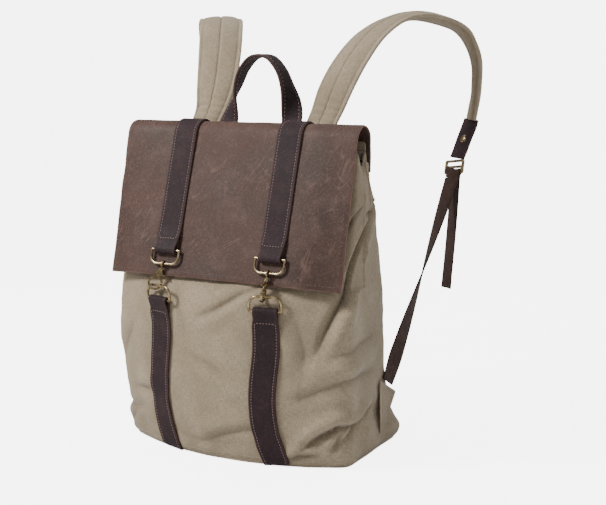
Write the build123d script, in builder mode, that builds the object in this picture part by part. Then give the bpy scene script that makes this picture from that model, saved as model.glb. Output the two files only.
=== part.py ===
"""Travel backpack: a canvas bag with a leather flap, two clip straps, a grab handle and two shoulder straps.

Millimetres. +X is the viewer's right when facing the flap, +Y runs from the flap to the wearer, +Z is up.
The origin is the centre of the base, at the level the bag stands on. Soft parts are plain closed solids.
"""

import os
from math import asin, cos, degrees, radians, sin, sqrt

from build123d import *

os.makedirs("parts", exist_ok=True)

SIDES = {"left": -1, "right": 1}

# ---------------------------------------------------------------- driving dimensions
CANVAS = 1.6  # thickness of the body canvas
LEATHER = 2.3  # thickness of the flap leather
STRAP_LEATHER = 2.6  # thickness of the strap leather
FOAM = 5.0
LINING = 0.8
GAP = 0.3  # air between soft layers

# One row per height of the body: height, half width, back y, corner y, front y on the centre line
BODY_LEVELS = [
    (0, 147, 80, -57, -96),
    (60, 147, 63, -68, -110),
    (125, 150, 41, -72, -113.5),
    (190, 151, 31, -72, -112),
    (214, 150, 26, -68, -92),
    (300, 149, 2, -50, -64),
    (328, 148, -14.8, -45, -55),
    (355, 147, -14.8, -38, -45),
]
BACK_TOP = (365, 147, -14.8)  # the back panel stands above the mouth
HEM_DEPTH = 14
HEM_THICK = 1.2

BASE_THICK = 4.0
BOARD_THICK = 2.0
BOARD_INSET = 9.0

STRAP_X = 69.0  # from the centre line to each clip strap
STRAP_WIDTH = 31.5
STRAP_STANDOFF = 0.7  # the bowed front turns a little within the width of a flat strap

FLAP_HALF_WIDTH = 151.5
FOLD_Y, FOLD_Z, FOLD_R = -31.0, 365.5, 18.5  # outer surface of the fold over the mouth
FLAP_LEAN = 17.6  # the front of the flap leans out by this angle
FLAP_DROP = 169.0  # from the fold's tangent line to the front edge
FLAP_BACK_END = 331.0  # lower edge of the margin that is sewn to the back
CUT_ANGLE = 0.6  # half of the slit between the fixed and the moving half of the fold

WIRE_R = 1.5  # both D-rings
RING_HALF_WIDTH = 18.5
RING_HEIGHT = 16.0
RING_CORNER_R = 9.0
LOOP_BORE_R = 1.75  # leather loop around a ring's bar
LOOP_OVERLAP = 14.0
UPPER_BAR_DROP = 140.0  # along the flap, from the tangent line to the upper bar
LOWER_BAR_Z = 183.3

HOOK_LENGTH = 24.0  # from the ring's wire to the centre of the hook's bow
HOOK_OUTER_R, HOOK_INNER_R = 8.3, 6.0
HOOK_THICK = 3.0
PIVOT_V = 11.5  # trigger pin above the centre of the bow
PIN_R = 0.9
COLLAR_LOW, COLLAR_HIGH, COLLAR_R = 14.6, 17.6, 2.9
SHANK_R = 1.15
EYE_R, EYE_WIRE_R = 3.2, 1.1
EYE_SLACK = 0.4
# Lean of each hook as the way from the ring down to its bow, and the heading of its thumb lever
HOOK_DROPS = {"left": (-7.4, -7.0, -21.7), "right": (-1.5, -8.5, -22.4)}
LEVER_HEADINGS = {"left": 30.0, "right": -75.0}

YOKE_HALF_WIDTH = 104.0
YOKE_THICK = 7.0
YOKE_LOW, YOKE_HIGH = 324.0, 362.0

HANDLE_WIDTH = 25.0
HANDLE_THICK = 4.0
# One leg of the handle from its foot to beside the crown: x, y, z, heading of the width direction
HANDLE_ROUTE = [
    (41.5, -6.5, 364.6, 0),
    (42.0, 4.5, 385, 8),
    (39, 9, 404, 45),
    (33.5, 9.5, 424, 78),
    (24, 9.5, 445, 88),
    (10, 9.5, 458, 90),
]

PAD_THICK = 11.0
# Centre line of the right pad: x, y, z, heading of the width direction, width
PAD_ROUTE = [
    (79, 22, 396, -4, 43),
    (82, 37, 420, -10, 50),
    (91, 60, 454, -16, 54),
    (106, 89, 486, -24, 55),
    (126, 123, 505, -32, 55),
    (157, 165, 504, -45, 54),
    (179, 198, 488, -54, 53),
    (190, 214, 455, -60, 52),
    (190, 218, 418, -62, 48),
    (185, 216, 381, -58, 41),
]
PAD_ROOT = [(77.5, -4, 368, 0, 40), (78.5, 13.5, 386, -2, 40)]
WEBBING_WIDTH, WEBBING_THICK = 25.0, 1.8
TAB_TOP, TAB_END = (184.3, 214.5, 376.5), (173.4, 201.6, 335)
TAB_WIDTH, TAB_THICK, TAB_HEADING = 27.0, 3.4, -28.0
BUCKLE_CENTRE = (171, 196.5, 322)
BUCKLE_LEAN = 16.0
BUCKLE_WIDTH, BUCKLE_HEIGHT, BUCKLE_THICK = 33.0, 18.0, 2.6
BUCKLE_BAR, BUCKLE_SLOT = 3.0, 4.5
WEB_TOP, WEB_FREE, WEB_END = (170.4, 191.5, 310), (152.0, 62.1, 105.2), (149.5, 44.5, 77.0)
WEB_FREE_HEADING, WEB_END_HEADING = 96.0, 90.0
WEB_SLIT = 2.2  # between the sewn-in end of the webbing and the part that swings
TAIL_TOP, TAIL_END, TAIL_HEADING = (171.0, 200.8, 312), (166, 188, 168), -43.0

CORNER_TAB = [(20, 80), (64, 61), (25, 19)]  # y, z of the triangle sewn to the side at each lower corner
CORNER_TAB_X = 148.2
CORNER_TAB_THICK = 2.2

SIDE_TAB = [(-10, 346), (2.5, 342), (9.5, 296), (-2.5, 293)]  # y, z of the short band on each side
SIDE_TAB_THICK = 1.6


# ---------------------------------------------------------------- shared helpers
def finish(part, name, colour):
    """Label one finished piece and write its STEP file."""
    part.label = name
    part.color = Color(*colour)
    export_step(part, f"parts/{name}.step")


CANVAS_COLOUR = (0.68, 0.62, 0.52)
LEATHER_COLOUR = (0.33, 0.23, 0.20)
DARK_LEATHER = (0.20, 0.16, 0.18)
BRASS = (0.72, 0.60, 0.38)
WEBBING_COLOUR = (0.24, 0.15, 0.13)
LINING_COLOUR = (0.55, 0.50, 0.42)


def front_radius(level):
    """Plan radius of the bowed front at one body level."""
    _, half, _, corner, front = level
    bow = corner - front
    return (half**2 + bow**2) / (2 * bow)


def front_y(level, x):
    """y of the outer canvas at distance x from the centre line."""
    radius = front_radius(level)
    return level[4] + radius - sqrt(radius**2 - x**2)


def inset_level(level, amount, back_amount):
    """The same level drawn in by a wall thickness."""
    height, half, back, corner, front = level
    return (height, half - amount, back - back_amount, corner + amount, front + amount)


def level_at(height):
    """The body level at any height, between the listed ones."""
    above = next(i for i, level in enumerate(BODY_LEVELS) if level[0] >= height)
    low, high = BODY_LEVELS[max(above - 1, 0)], BODY_LEVELS[max(above, 1)]
    t = (height - low[0]) / (high[0] - low[0])
    return tuple(a + (b - a) * t for a, b in zip(low, high))


def level_outline(level):
    """Closed plan outline of the body at one level."""
    _, half, back, corner, front = level
    with BuildSketch() as outline:
        with BuildLine():
            ThreePointArc((-half, corner), (0, front), (half, corner))
            Polyline((half, corner), (half, back), (-half, back), (-half, corner))
        make_face()
    return outline.sketch


def wall_between(levels, outline):
    """Loft one thin wall through all levels; outline(level, inner level) draws its section."""
    with BuildPart() as wall:
        for level in levels:
            with BuildSketch(Plane.XY.offset(level[0])):
                with BuildLine():
                    outline(level, inset_level(level, CANVAS, CANVAS))
                make_face()
        loft(ruled=True)
    return wall.part


def strip_plane(point, tangent, heading):
    """Plane across a strap: x along its width, z along its run."""
    return Plane(origin=point, x_dir=(cos(radians(heading)), sin(radians(heading)), 0), z_dir=tangent)


def route_tangents(route):
    """Unit directions at each point of a route, by central differences."""
    points = [Vector(*row[:3]) for row in route]
    last = len(points) - 1
    return [(points[min(i + 1, last)] - points[max(i - 1, 0)]).normalized() for i in range(last + 1)]


def mirrored_route(route, sign):
    """A right-hand route, or its mirror image for the left."""
    return [(sign * x, y, z, sign * heading, width) for x, y, z, heading, width in route]


# ---------------------------------------------------------------- clip straps on the body
lower_straps = {}
lower_strap_planes = {}
strap_level = BODY_LEVELS[3]
strap_face_y = front_y(strap_level, STRAP_X)
strap_turn = degrees(asin(STRAP_X / front_radius(BODY_LEVELS[2])))
for side, sign in SIDES.items():
    outward = (sign * sin(radians(strap_turn)), -cos(radians(strap_turn)), 0)
    along_bar = (cos(radians(strap_turn)), sign * sin(radians(strap_turn)), 0)
    origin = (sign * STRAP_X, strap_face_y, 0)
    profile_plane = Plane(origin=origin, x_dir=outward, z_dir=Vector(*outward).cross(Vector(0, 0, 1)))
    lower_strap_planes[side] = Plane(origin=origin, x_dir=along_bar, z_dir=outward)
    canvas_line = [
        ((strap_face_y - front_y(level, STRAP_X)) * cos(radians(strap_turn)), level[0])
        for level in BODY_LEVELS[:4]
    ]
    canvas_line[0] = (canvas_line[0][0], STRAP_LEATHER)
    canvas_line[-1] = (0, LOWER_BAR_Z)
    canvas_line = [(n + STRAP_STANDOFF, z) for n, z in canvas_line]
    outer_line = [(n + STRAP_LEATHER, z) for n, z in canvas_line]
    outer_line[0] = (outer_line[0][0], 0)
    loop_centre = (STRAP_STANDOFF + STRAP_LEATHER + LOOP_BORE_R, LOWER_BAR_Z)
    with BuildPart() as lower_strap:
        with BuildSketch(profile_plane):
            with BuildLine():
                Polyline(*canvas_line, *reversed(outer_line), (canvas_line[0][0], 0), close=True)
            make_face()
            with Locations(loop_centre):
                Circle(LOOP_BORE_R + STRAP_LEATHER)
            with Locations((STRAP_STANDOFF + STRAP_LEATHER, LOWER_BAR_Z)):
                Rectangle(2 * STRAP_LEATHER, LOOP_OVERLAP, align=(Align.CENTER, Align.MAX))
            with Locations(loop_centre):
                Circle(LOOP_BORE_R, mode=Mode.SUBTRACT)
        extrude(amount=STRAP_WIDTH / 2, both=True)
        with BuildSketch(Plane.XY):
            with Locations((sign * STRAP_X, (front_y(BODY_LEVELS[0], STRAP_X) + BODY_LEVELS[0][2]) / 2)):
                Rectangle(STRAP_WIDTH, BODY_LEVELS[0][2] - front_y(BODY_LEVELS[0], STRAP_X) - 2 * CANVAS)
        extrude(amount=STRAP_LEATHER)
    lower_straps[side] = lower_strap.part
    finish(lower_strap.part, f"lower_strap_{side}", DARK_LEATHER)


# ---------------------------------------------------------------- canvas body
def front_section(level, inner):
    _, half, _, corner, front = level
    _, half_in, _, corner_in, front_in = inner
    ThreePointArc((-half, corner), (0, front), (half, corner))
    Line((half, corner), (half_in, corner_in))
    ThreePointArc((half_in, corner_in), (0, front_in), (-half_in, corner_in))
    Line((-half_in, corner_in), (-half, corner))


def back_section(level, inner):
    Polyline(
        (-level[1], level[2]), (level[1], level[2]), (inner[1], inner[2]), (-inner[1], inner[2]), close=True
    )


def gusset_section(sign):
    def outline(level, inner):
        Polyline(
            (sign * level[1], level[3]),
            (sign * level[1], level[2]),
            (sign * inner[1], inner[2]),
            (sign * inner[1], inner[3]),
            close=True,
        )

    return outline


wall_levels = [level_at(BASE_THICK)] + BODY_LEVELS[1:]
finish(wall_between(wall_levels, front_section), "front_panel", CANVAS_COLOUR)
back_levels = wall_levels + [(*BACK_TOP, *BODY_LEVELS[-1][3:])]
finish(wall_between(back_levels, back_section), "back_panel", CANVAS_COLOUR)
for side, sign in SIDES.items():
    finish(wall_between(wall_levels, gusset_section(sign)), f"gusset_{side}", CANVAS_COLOUR)

with BuildPart() as bottom_panel:
    with BuildSketch(Plane.XY):
        add(level_outline(BODY_LEVELS[0]))
    extrude(amount=BASE_THICK)
    for strap in lower_straps.values():
        add(strap, mode=Mode.SUBTRACT)
finish(bottom_panel.part, "bottom_panel", CANVAS_COLOUR)

# A stiff board under the lining keeps the base flat
with BuildPart() as base_board:
    with BuildSketch(Plane.XY.offset(BASE_THICK + GAP)):
        add(level_outline(inset_level(BODY_LEVELS[0], BOARD_INSET, BOARD_INSET)))
    extrude(amount=BOARD_THICK)
    fillet(base_board.edges().filter_by(Axis.Z), radius=6)
finish(base_board.part, "base_board", (0.45, 0.36, 0.26))

# Foam between the back panel and the lining
foam_levels = [inset_level(level, 12, CANVAS + GAP) for level in BODY_LEVELS[1:7]]
with BuildPart() as back_foam:
    for level in foam_levels:
        with BuildSketch(Plane.XY.offset(level[0])):
            with Locations((0, level[2] - FOAM / 2)):
                Rectangle(2 * level[1], FOAM)
    loft(ruled=True)
finish(back_foam.part, "back_foam", (0.75, 0.74, 0.70))


def lining_levels(depth):
    """Levels of the lining's outer skin, or with depth = LINING its inner skin."""
    side_gap = CANVAS + GAP + depth
    back_gap = CANVAS + 2 * GAP + FOAM + depth
    floor = BASE_THICK + BOARD_THICK + 2 * GAP + depth
    rows = [inset_level(level, side_gap, back_gap) for level in BODY_LEVELS]
    return [(floor, *rows[0][1:])] + rows[1:-1] + [(BODY_LEVELS[-1][0] - HEM_DEPTH - GAP, *rows[-1][1:])]


with BuildPart() as lining:
    for depth, mode in ((0, Mode.ADD), (LINING, Mode.SUBTRACT)):
        for level in lining_levels(depth):
            with BuildSketch(Plane.XY.offset(level[0])):
                add(level_outline(level))
        loft(ruled=True, mode=mode)
finish(lining.part, "lining", LINING_COLOUR)

# Folded hems inside the mouth
mouth_height = BODY_LEVELS[-1][0]
with BuildPart() as front_hem:
    for height in (mouth_height - HEM_DEPTH, mouth_height):
        _, half, _, corner, front = inset_level(level_at(height), CANVAS + GAP, CANVAS)
        with BuildSketch(Plane.XY.offset(height)):
            with BuildLine():
                ThreePointArc((-half, corner), (0, front), (half, corner))
                Line((half, corner), (half, corner + HEM_THICK))
                ThreePointArc(
                    (half, corner + HEM_THICK), (0, front + HEM_THICK), (-half, corner + HEM_THICK)
                )
                Line((-half, corner + HEM_THICK), (-half, corner))
            make_face()
    loft(ruled=True)
finish(front_hem.part, "front_hem", CANVAS_COLOUR)

hem_back = BACK_TOP[2] - CANVAS - GAP
with BuildPart() as back_hem:
    with BuildSketch(Plane.XY.offset(BACK_TOP[0] - HEM_DEPTH)):
        with Locations((0, hem_back - HEM_THICK / 2)):
            Rectangle(2 * (BACK_TOP[1] - CANVAS), HEM_THICK)
    extrude(amount=HEM_DEPTH)
finish(back_hem.part, "back_hem", CANVAS_COLOUR)

# Triangles that hold the webbing at the lower corners, and the short bands on the sides
for side, sign in SIDES.items():
    with BuildPart() as corner_tab:
        with BuildSketch(Plane.YZ.offset(sign * (CORNER_TAB_X + CORNER_TAB_THICK / 2))) as triangle:
            Polygon(*CORNER_TAB, align=None)
            fillet(triangle.vertices(), radius=2.5)
        extrude(amount=CORNER_TAB_THICK / 2, both=True)
    finish(corner_tab.part, f"corner_tab_{side}", CANVAS_COLOUR)

    with BuildPart() as side_tab:
        with BuildSketch(Plane.YZ.offset(sign * (BODY_LEVELS[5][1] + SIDE_TAB_THICK / 2 + 0.4))):
            Polygon(*SIDE_TAB, align=None)
        extrude(amount=SIDE_TAB_THICK / 2, both=True)
    finish(side_tab.part, f"side_tab_{side}", CANVAS_COLOUR)


# ---------------------------------------------------------------- flap
lean = radians(FLAP_LEAN)
flap_down = Vector(0, -sin(lean), -cos(lean))
flap_out = Vector(0, -cos(lean), sin(lean))
fold_centre = Vector(0, FOLD_Y, FOLD_Z)
tangent_point = fold_centre + flap_out * FOLD_R
side_profile = Plane(origin=(0, 0, 0), x_dir=(0, 1, 0), z_dir=(1, 0, 0))


def band_section(start_angle, end_angle, inner_r, outer_r, tail):
    """Side section of leather bent over the fold between two angles, then straight on for its tail.

    Angles are counted from straight up towards the front of the bag.
    """

    def ray(angle):
        return Vector(0, -sin(radians(angle)), cos(radians(angle)))

    def flat(point):
        return (point.Y, point.Z)

    arcs = []
    for radius in (inner_r, outer_r):
        middle = ray((start_angle + end_angle) / 2)
        arcs.append([flat(fold_centre + ray_at * radius) for ray_at in (ray(start_angle), middle, ray(end_angle))])
    ends = [(arc[-1][0] + tail.Y, arc[-1][1] + tail.Z) for arc in arcs]
    with BuildSketch() as section:
        with BuildLine():
            ThreePointArc(*arcs[0])
            Polyline(arcs[0][-1], ends[0], ends[1], arcs[1][-1])
            ThreePointArc(*arcs[1])
            Line(arcs[1][0], arcs[0][0])
        make_face()
    return section.sketch


def moving_section(inner_r, outer_r, drop):
    """The half of the fold that lifts, and the leather hanging from it."""
    return band_section(CUT_ANGLE, 90 - FLAP_LEAN, inner_r, outer_r, flap_down * drop)


def fixed_section(inner_r, outer_r, low):
    """The half of the fold that stays on the bag, down to its lower edge."""
    return band_section(-CUT_ANGLE, -90, inner_r, outer_r, Vector(0, 0, low - FOLD_Z))


with BuildPart() as flap_panel:
    with BuildSketch(side_profile):
        add(moving_section(FOLD_R - LEATHER, FOLD_R, FLAP_DROP))
    extrude(amount=FLAP_HALF_WIDTH, both=True)
finish(flap_panel.part, "flap_panel", LEATHER_COLOUR)

with BuildPart() as flap_margin:
    with BuildSketch(side_profile):
        add(fixed_section(FOLD_R - LEATHER, FOLD_R, FLAP_BACK_END))
    extrude(amount=FLAP_HALF_WIDTH, both=True)
finish(flap_margin.part, "flap_back_margin", LEATHER_COLOUR)

upper_bar = tangent_point + flap_down * UPPER_BAR_DROP + flap_out * (STRAP_LEATHER + LOOP_BORE_R)
for side, sign in SIDES.items():
    strap_profile = Plane(origin=(sign * STRAP_X, 0, 0), x_dir=(0, 1, 0), z_dir=(1, 0, 0))
    layer_end = Plane(
        origin=(sign * STRAP_X, *(upper_bar.Y, upper_bar.Z)), x_dir=tuple(flap_out), z_dir=(1, 0, 0)
    )
    with BuildPart() as flap_strap:
        with BuildSketch(strap_profile):
            add(moving_section(FOLD_R, FOLD_R + STRAP_LEATHER, UPPER_BAR_DROP))
        extrude(amount=STRAP_WIDTH / 2, both=True)
        with BuildSketch(layer_end):
            Circle(LOOP_BORE_R + STRAP_LEATHER)
            with Locations((-LOOP_BORE_R, 0)):
                Rectangle(2 * STRAP_LEATHER, LOOP_OVERLAP, align=(Align.CENTER, Align.MAX))
        extrude(amount=STRAP_WIDTH / 2, both=True)
        with BuildSketch(layer_end):
            Circle(LOOP_BORE_R)
        extrude(amount=STRAP_WIDTH / 2, both=True, mode=Mode.SUBTRACT)
    finish(flap_strap.part, f"flap_strap_{side}", DARK_LEATHER)

    with BuildPart() as strap_root:
        with BuildSketch(strap_profile):
            add(fixed_section(FOLD_R, FOLD_R + STRAP_LEATHER, YOKE_HIGH + GAP))
        extrude(amount=STRAP_WIDTH / 2, both=True)
    finish(strap_root.part, f"flap_strap_root_{side}", DARK_LEATHER)


# ---------------------------------------------------------------- D-rings
def d_ring(plane, height_sign):
    """A D-ring whose bar lies on the plane's x axis and whose bow points along its y axis."""
    reach = height_sign * RING_HEIGHT
    corners = [(-RING_HALF_WIDTH, 0), (-RING_HALF_WIDTH, reach), (RING_HALF_WIDTH, reach), (RING_HALF_WIDTH, 0)]
    with BuildPart() as ring:
        with BuildLine(plane) as bow:
            FilletPolyline(*corners, radius=RING_CORNER_R)
        with BuildSketch(Plane(origin=bow.line @ 0, z_dir=bow.line % 0)):
            Circle(WIRE_R)
        sweep()
        with BuildSketch(Plane(origin=plane.origin, x_dir=plane.y_dir, z_dir=plane.x_dir)):
            Circle(WIRE_R)
        extrude(amount=RING_HALF_WIDTH, both=True)
        for end in (-RING_HALF_WIDTH, RING_HALF_WIDTH):
            with Locations(plane.origin + plane.x_dir * end):
                Sphere(WIRE_R)
    return ring.part


upper_wires = {}
for side, sign in SIDES.items():
    centre = Vector(sign * STRAP_X, upper_bar.Y, upper_bar.Z)
    ring_plane = Plane(origin=centre, x_dir=(1, 0, 0), z_dir=tuple(flap_out))
    finish(d_ring(ring_plane, -1), f"upper_ring_{side}", BRASS)
    upper_wires[side] = centre + flap_down * RING_HEIGHT

    strap_plane = lower_strap_planes[side]
    standing_out = strap_plane.z_dir * (STRAP_STANDOFF + STRAP_LEATHER + LOOP_BORE_R)
    bar = strap_plane.origin + standing_out + Vector(0, 0, LOWER_BAR_Z)
    bar_plane = Plane(origin=bar, x_dir=strap_plane.x_dir, z_dir=strap_plane.z_dir)
    finish(d_ring(bar_plane, 1), f"lower_ring_{side}", BRASS)


# ---------------------------------------------------------------- swivel trigger hooks
LEVER_THICK = 1.2
SLOT_THICK = 1.8
MOUTH = [(0, 0), (15.6, 3.3), (16, 9.6), (9, 6), (5.4, 5.2)]  # gap in the bow that the trigger closes
NECK = [(-5.8, 5.2), (-4.3, PIVOT_V), (-2.9, COLLAR_LOW + 0.6), (2.9, COLLAR_LOW + 0.6), (4.3, PIVOT_V), (3.4, 6.9)]
SLOT = [(-3.2, 14.0), (-3.2, 9.3), (1.2, 3.8), (9.0, 3.8), (9.0, 14.0)]
GATE = [(1.6, 12.6), (8.2, 3.6), (7.55, 2.6), (5.9, 2.2), (4.9, 4.0), (-1.2, 9.8)]
TAIL = [(0.4, 13.2), (6.6, 12.0), (15.4, 9.1), (15.0, 7.9), (7.0, 10.2), (1.0, 9.6)]
THUMB = [(10.4, 11.0), (15.8, 9.1), (15.2, 7.6), (9.8, 9.3)]
THUMB_THICK = 2.3
SPRING_R, SPRING_WIRE_R = 1.35, 0.22


def hook_plane(side):
    """Plane of one hook: origin at the centre of its bow, y towards its eye, x towards its thumb lever."""
    drop = Vector(*HOOK_DROPS[side]).normalized()
    up = drop * -1
    heading = radians(LEVER_HEADINGS[side])
    normal = Vector(cos(heading), sin(heading), 0).cross(up).normalized()
    return Plane(origin=upper_wires[side] + drop * HOOK_LENGTH, x_dir=up.cross(normal), z_dir=normal)


for side in SIDES:
    plane = hook_plane(side)
    shank_plane = Plane(origin=plane.origin, x_dir=plane.x_dir, z_dir=plane.y_dir)
    with BuildPart() as hook_body:
        with BuildSketch(plane):
            Circle(HOOK_OUTER_R)
            Polygon(*NECK, align=None)
            Circle(HOOK_INNER_R, mode=Mode.SUBTRACT)
            Polygon(*MOUTH, align=None, mode=Mode.SUBTRACT)
        extrude(amount=HOOK_THICK / 2, both=True)
        with BuildSketch(shank_plane.offset(COLLAR_LOW)):
            Circle(COLLAR_R)
        extrude(amount=COLLAR_HIGH - COLLAR_LOW)
        with BuildSketch(plane):
            Polygon(*SLOT, align=None)
        extrude(amount=SLOT_THICK / 2, both=True, mode=Mode.SUBTRACT)
        with BuildSketch(plane):
            with Locations((0, PIVOT_V)):
                Circle(PIN_R)
        extrude(amount=HOOK_THICK, both=True, mode=Mode.SUBTRACT)
        with BuildSketch(shank_plane.offset(COLLAR_LOW + 0.3)):
            Circle(SHANK_R + 0.1)
        extrude(amount=COLLAR_HIGH, mode=Mode.SUBTRACT)
    finish(hook_body.part, f"hook_body_{side}", BRASS)

    with BuildPart() as trigger:
        with BuildSketch(plane):
            with Locations((0, PIVOT_V)):
                Circle(2.1)
            Polygon(*GATE, align=None)
            Polygon(*TAIL, align=None)
            with Locations((0, PIVOT_V)):
                Circle(PIN_R + 0.08, mode=Mode.SUBTRACT)
        extrude(amount=LEVER_THICK / 2, both=True)
        with BuildSketch(plane):
            Polygon(*THUMB, align=None)
        extrude(amount=THUMB_THICK / 2, both=True)
    finish(trigger.part, f"trigger_{side}", BRASS)

    with BuildPart() as trigger_pin:
        with BuildSketch(plane):
            with Locations((0, PIVOT_V)):
                Circle(PIN_R)
        extrude(amount=HOOK_THICK / 2, both=True)
        for face in (-1, 1):
            with BuildSketch(plane.offset(face * HOOK_THICK / 2)):
                with Locations((0, PIVOT_V)):
                    Circle(1.5)
            extrude(amount=face * 0.5)
    finish(trigger_pin.part, f"trigger_pin_{side}", BRASS)

    # The eye goes round the ring's wire, and its shank turns in the collar
    up = plane.y_dir
    eye_normal = (Vector(1, 0, 0) - up * up.X).normalized()
    eye_centre = upper_wires[side] - up * EYE_SLACK
    with BuildPart() as swivel_eye:
        with BuildSketch(Plane(origin=eye_centre + up * EYE_R, x_dir=up, z_dir=up.cross(eye_normal))):
            Circle(EYE_WIRE_R)
        revolve(axis=Axis(tuple(eye_centre), tuple(eye_normal)))
        with BuildSketch(Plane(origin=eye_centre - up * EYE_R, z_dir=up * -1)):
            Circle(SHANK_R)
        extrude(amount=HOOK_LENGTH - EYE_SLACK - EYE_R - COLLAR_LOW - 0.6)
    finish(swivel_eye.part, f"swivel_eye_{side}", BRASS)


# ---------------------------------------------------------------- back yoke and grab handle
yoke_face = FOLD_Y + FOLD_R + GAP
with BuildPart() as back_yoke:
    with BuildSketch(Plane.XZ.offset(-yoke_face)):
        with Locations((0, (YOKE_LOW + YOKE_HIGH) / 2)):
            RectangleRounded(2 * YOKE_HALF_WIDTH, YOKE_HIGH - YOKE_LOW, 8)
    extrude(amount=-YOKE_THICK)
    fillet(back_yoke.faces().sort_by(Axis.Y)[-1].edges(), radius=2)
finish(back_yoke.part, "back_yoke", LEATHER_COLOUR)

left_leg = [(-x, y, z, -heading) for x, y, z, heading in HANDLE_ROUTE]
arch = left_leg + [(x, y, z, heading - 180) for x, y, z, heading in reversed(HANDLE_ROUTE)]
with BuildPart() as handle_strap:
    for (x, y, z, heading), tangent in zip(arch, route_tangents(arch)):
        with BuildSketch(strip_plane((x, y, z), tuple(tangent), heading)):
            RectangleRounded(HANDLE_WIDTH, HANDLE_THICK, 1.2)
    loft(ruled=True)
finish(handle_strap.part, "handle_strap", DARK_LEATHER)


# ---------------------------------------------------------------- shoulder straps
def strap_loft(route, thickness, corner):
    """A padded or flat strap through the stations of its route."""
    with BuildPart() as strip:
        for (x, y, z, heading, width), tangent in zip(route, route_tangents(route)):
            with BuildSketch(strip_plane((x, y, z), tuple(tangent), heading)):
                RectangleRounded(width, thickness, corner)
        loft(ruled=True)
    return strip.part


def between(start, end, heading, end_heading, width, count):
    """Stations of a straight strap that may twist between its ends."""
    rows = []
    for i in range(count + 1):
        t = i / count
        point = [a + (b - a) * t for a, b in zip(start, end)]
        rows.append((*point, heading + (end_heading - heading) * t, width))
    return rows


for side, sign in SIDES.items():
    pad_route = mirrored_route(PAD_ROUTE, sign)
    finish(strap_loft(pad_route, PAD_THICK, 3.0), f"shoulder_pad_{side}", CANVAS_COLOUR)
    finish(strap_loft(mirrored_route(PAD_ROOT, sign), PAD_THICK - 2, 2.5), f"shoulder_pad_root_{side}", CANVAS_COLOUR)

    tab_route = mirrored_route(between(TAB_TOP, TAB_END, TAB_HEADING, TAB_HEADING, TAB_WIDTH, 1), sign)
    finish(strap_loft(tab_route, TAB_THICK, 1.0), f"strap_tab_{side}", DARK_LEATHER)

    web_route = between(WEB_TOP, WEB_FREE, TAB_HEADING + 180, WEB_FREE_HEADING, WEBBING_WIDTH, 5)
    finish(strap_loft(mirrored_route(web_route, sign), WEBBING_THICK, 0.6), f"webbing_{side}", WEBBING_COLOUR)
    web_start = Vector(*WEB_FREE) + (Vector(*WEB_END) - Vector(*WEB_FREE)).normalized() * WEB_SLIT
    root_route = between(tuple(web_start), WEB_END, WEB_FREE_HEADING, WEB_END_HEADING, WEBBING_WIDTH, 1)
    web_root = strap_loft(mirrored_route(root_route, sign), WEBBING_THICK, 0.6)
    finish(web_root, f"webbing_root_{side}", WEBBING_COLOUR)

    # Two-slot slide buckle between the leather tab and the webbing
    buckle_plane = strip_plane(
        (sign * BUCKLE_CENTRE[0], *BUCKLE_CENTRE[1:]),
        (0, -sin(radians(BUCKLE_LEAN)), -cos(radians(BUCKLE_LEAN))),
        sign * TAB_HEADING,
    )
    buckle_face = Plane(origin=buckle_plane.origin, x_dir=buckle_plane.x_dir, z_dir=buckle_plane.y_dir)
    with BuildPart() as strap_buckle:
        with BuildSketch(buckle_face):
            RectangleRounded(BUCKLE_WIDTH, BUCKLE_HEIGHT, 3)
            with GridLocations(0, BUCKLE_SLOT + BUCKLE_BAR, 1, 2):
                Rectangle(BUCKLE_WIDTH - 2 * BUCKLE_BAR, BUCKLE_SLOT, mode=Mode.SUBTRACT)
        extrude(amount=BUCKLE_THICK / 2, both=True)
    finish(strap_buckle.part, f"strap_buckle_{side}", BRASS)

    tail_route = mirrored_route(between(TAIL_TOP, TAIL_END, TAIL_HEADING, TAIL_HEADING, WEBBING_WIDTH, 1), sign)
    finish(strap_loft(tail_route, WEBBING_THICK, 0.6), f"webbing_tail_{side}", WEBBING_COLOUR)
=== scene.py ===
"""Looks of the travel backpack: canvas, leather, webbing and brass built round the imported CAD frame, in metres."""

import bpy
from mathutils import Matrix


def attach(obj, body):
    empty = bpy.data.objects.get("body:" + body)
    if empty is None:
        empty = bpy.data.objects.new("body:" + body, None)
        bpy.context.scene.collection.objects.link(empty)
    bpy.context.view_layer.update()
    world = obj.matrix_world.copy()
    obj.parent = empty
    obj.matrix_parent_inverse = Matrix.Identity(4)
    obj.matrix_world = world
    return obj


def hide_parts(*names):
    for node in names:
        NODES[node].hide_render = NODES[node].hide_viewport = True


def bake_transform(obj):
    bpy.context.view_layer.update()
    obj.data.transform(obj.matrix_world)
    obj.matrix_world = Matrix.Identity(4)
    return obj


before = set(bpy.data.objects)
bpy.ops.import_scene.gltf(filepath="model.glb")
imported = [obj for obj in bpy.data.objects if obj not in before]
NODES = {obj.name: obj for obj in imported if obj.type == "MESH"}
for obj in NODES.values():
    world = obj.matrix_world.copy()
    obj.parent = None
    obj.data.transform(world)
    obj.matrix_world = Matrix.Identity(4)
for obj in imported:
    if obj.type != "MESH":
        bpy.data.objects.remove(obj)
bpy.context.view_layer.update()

import bmesh
import bpy
import numpy as np
from mathutils import Matrix, Vector

MM = 0.001
SIDES = (("left", -1), ("right", 1))

# ------------------------------------------------------------------ camera, lights and world
CAMERA_AT = Vector((0.6829, -1.1732, 0.4449))
CAMERA_AZIMUTH, CAMERA_ELEVATION = np.radians(28.0), np.radians(9.1)
LENS = 68.3


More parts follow.
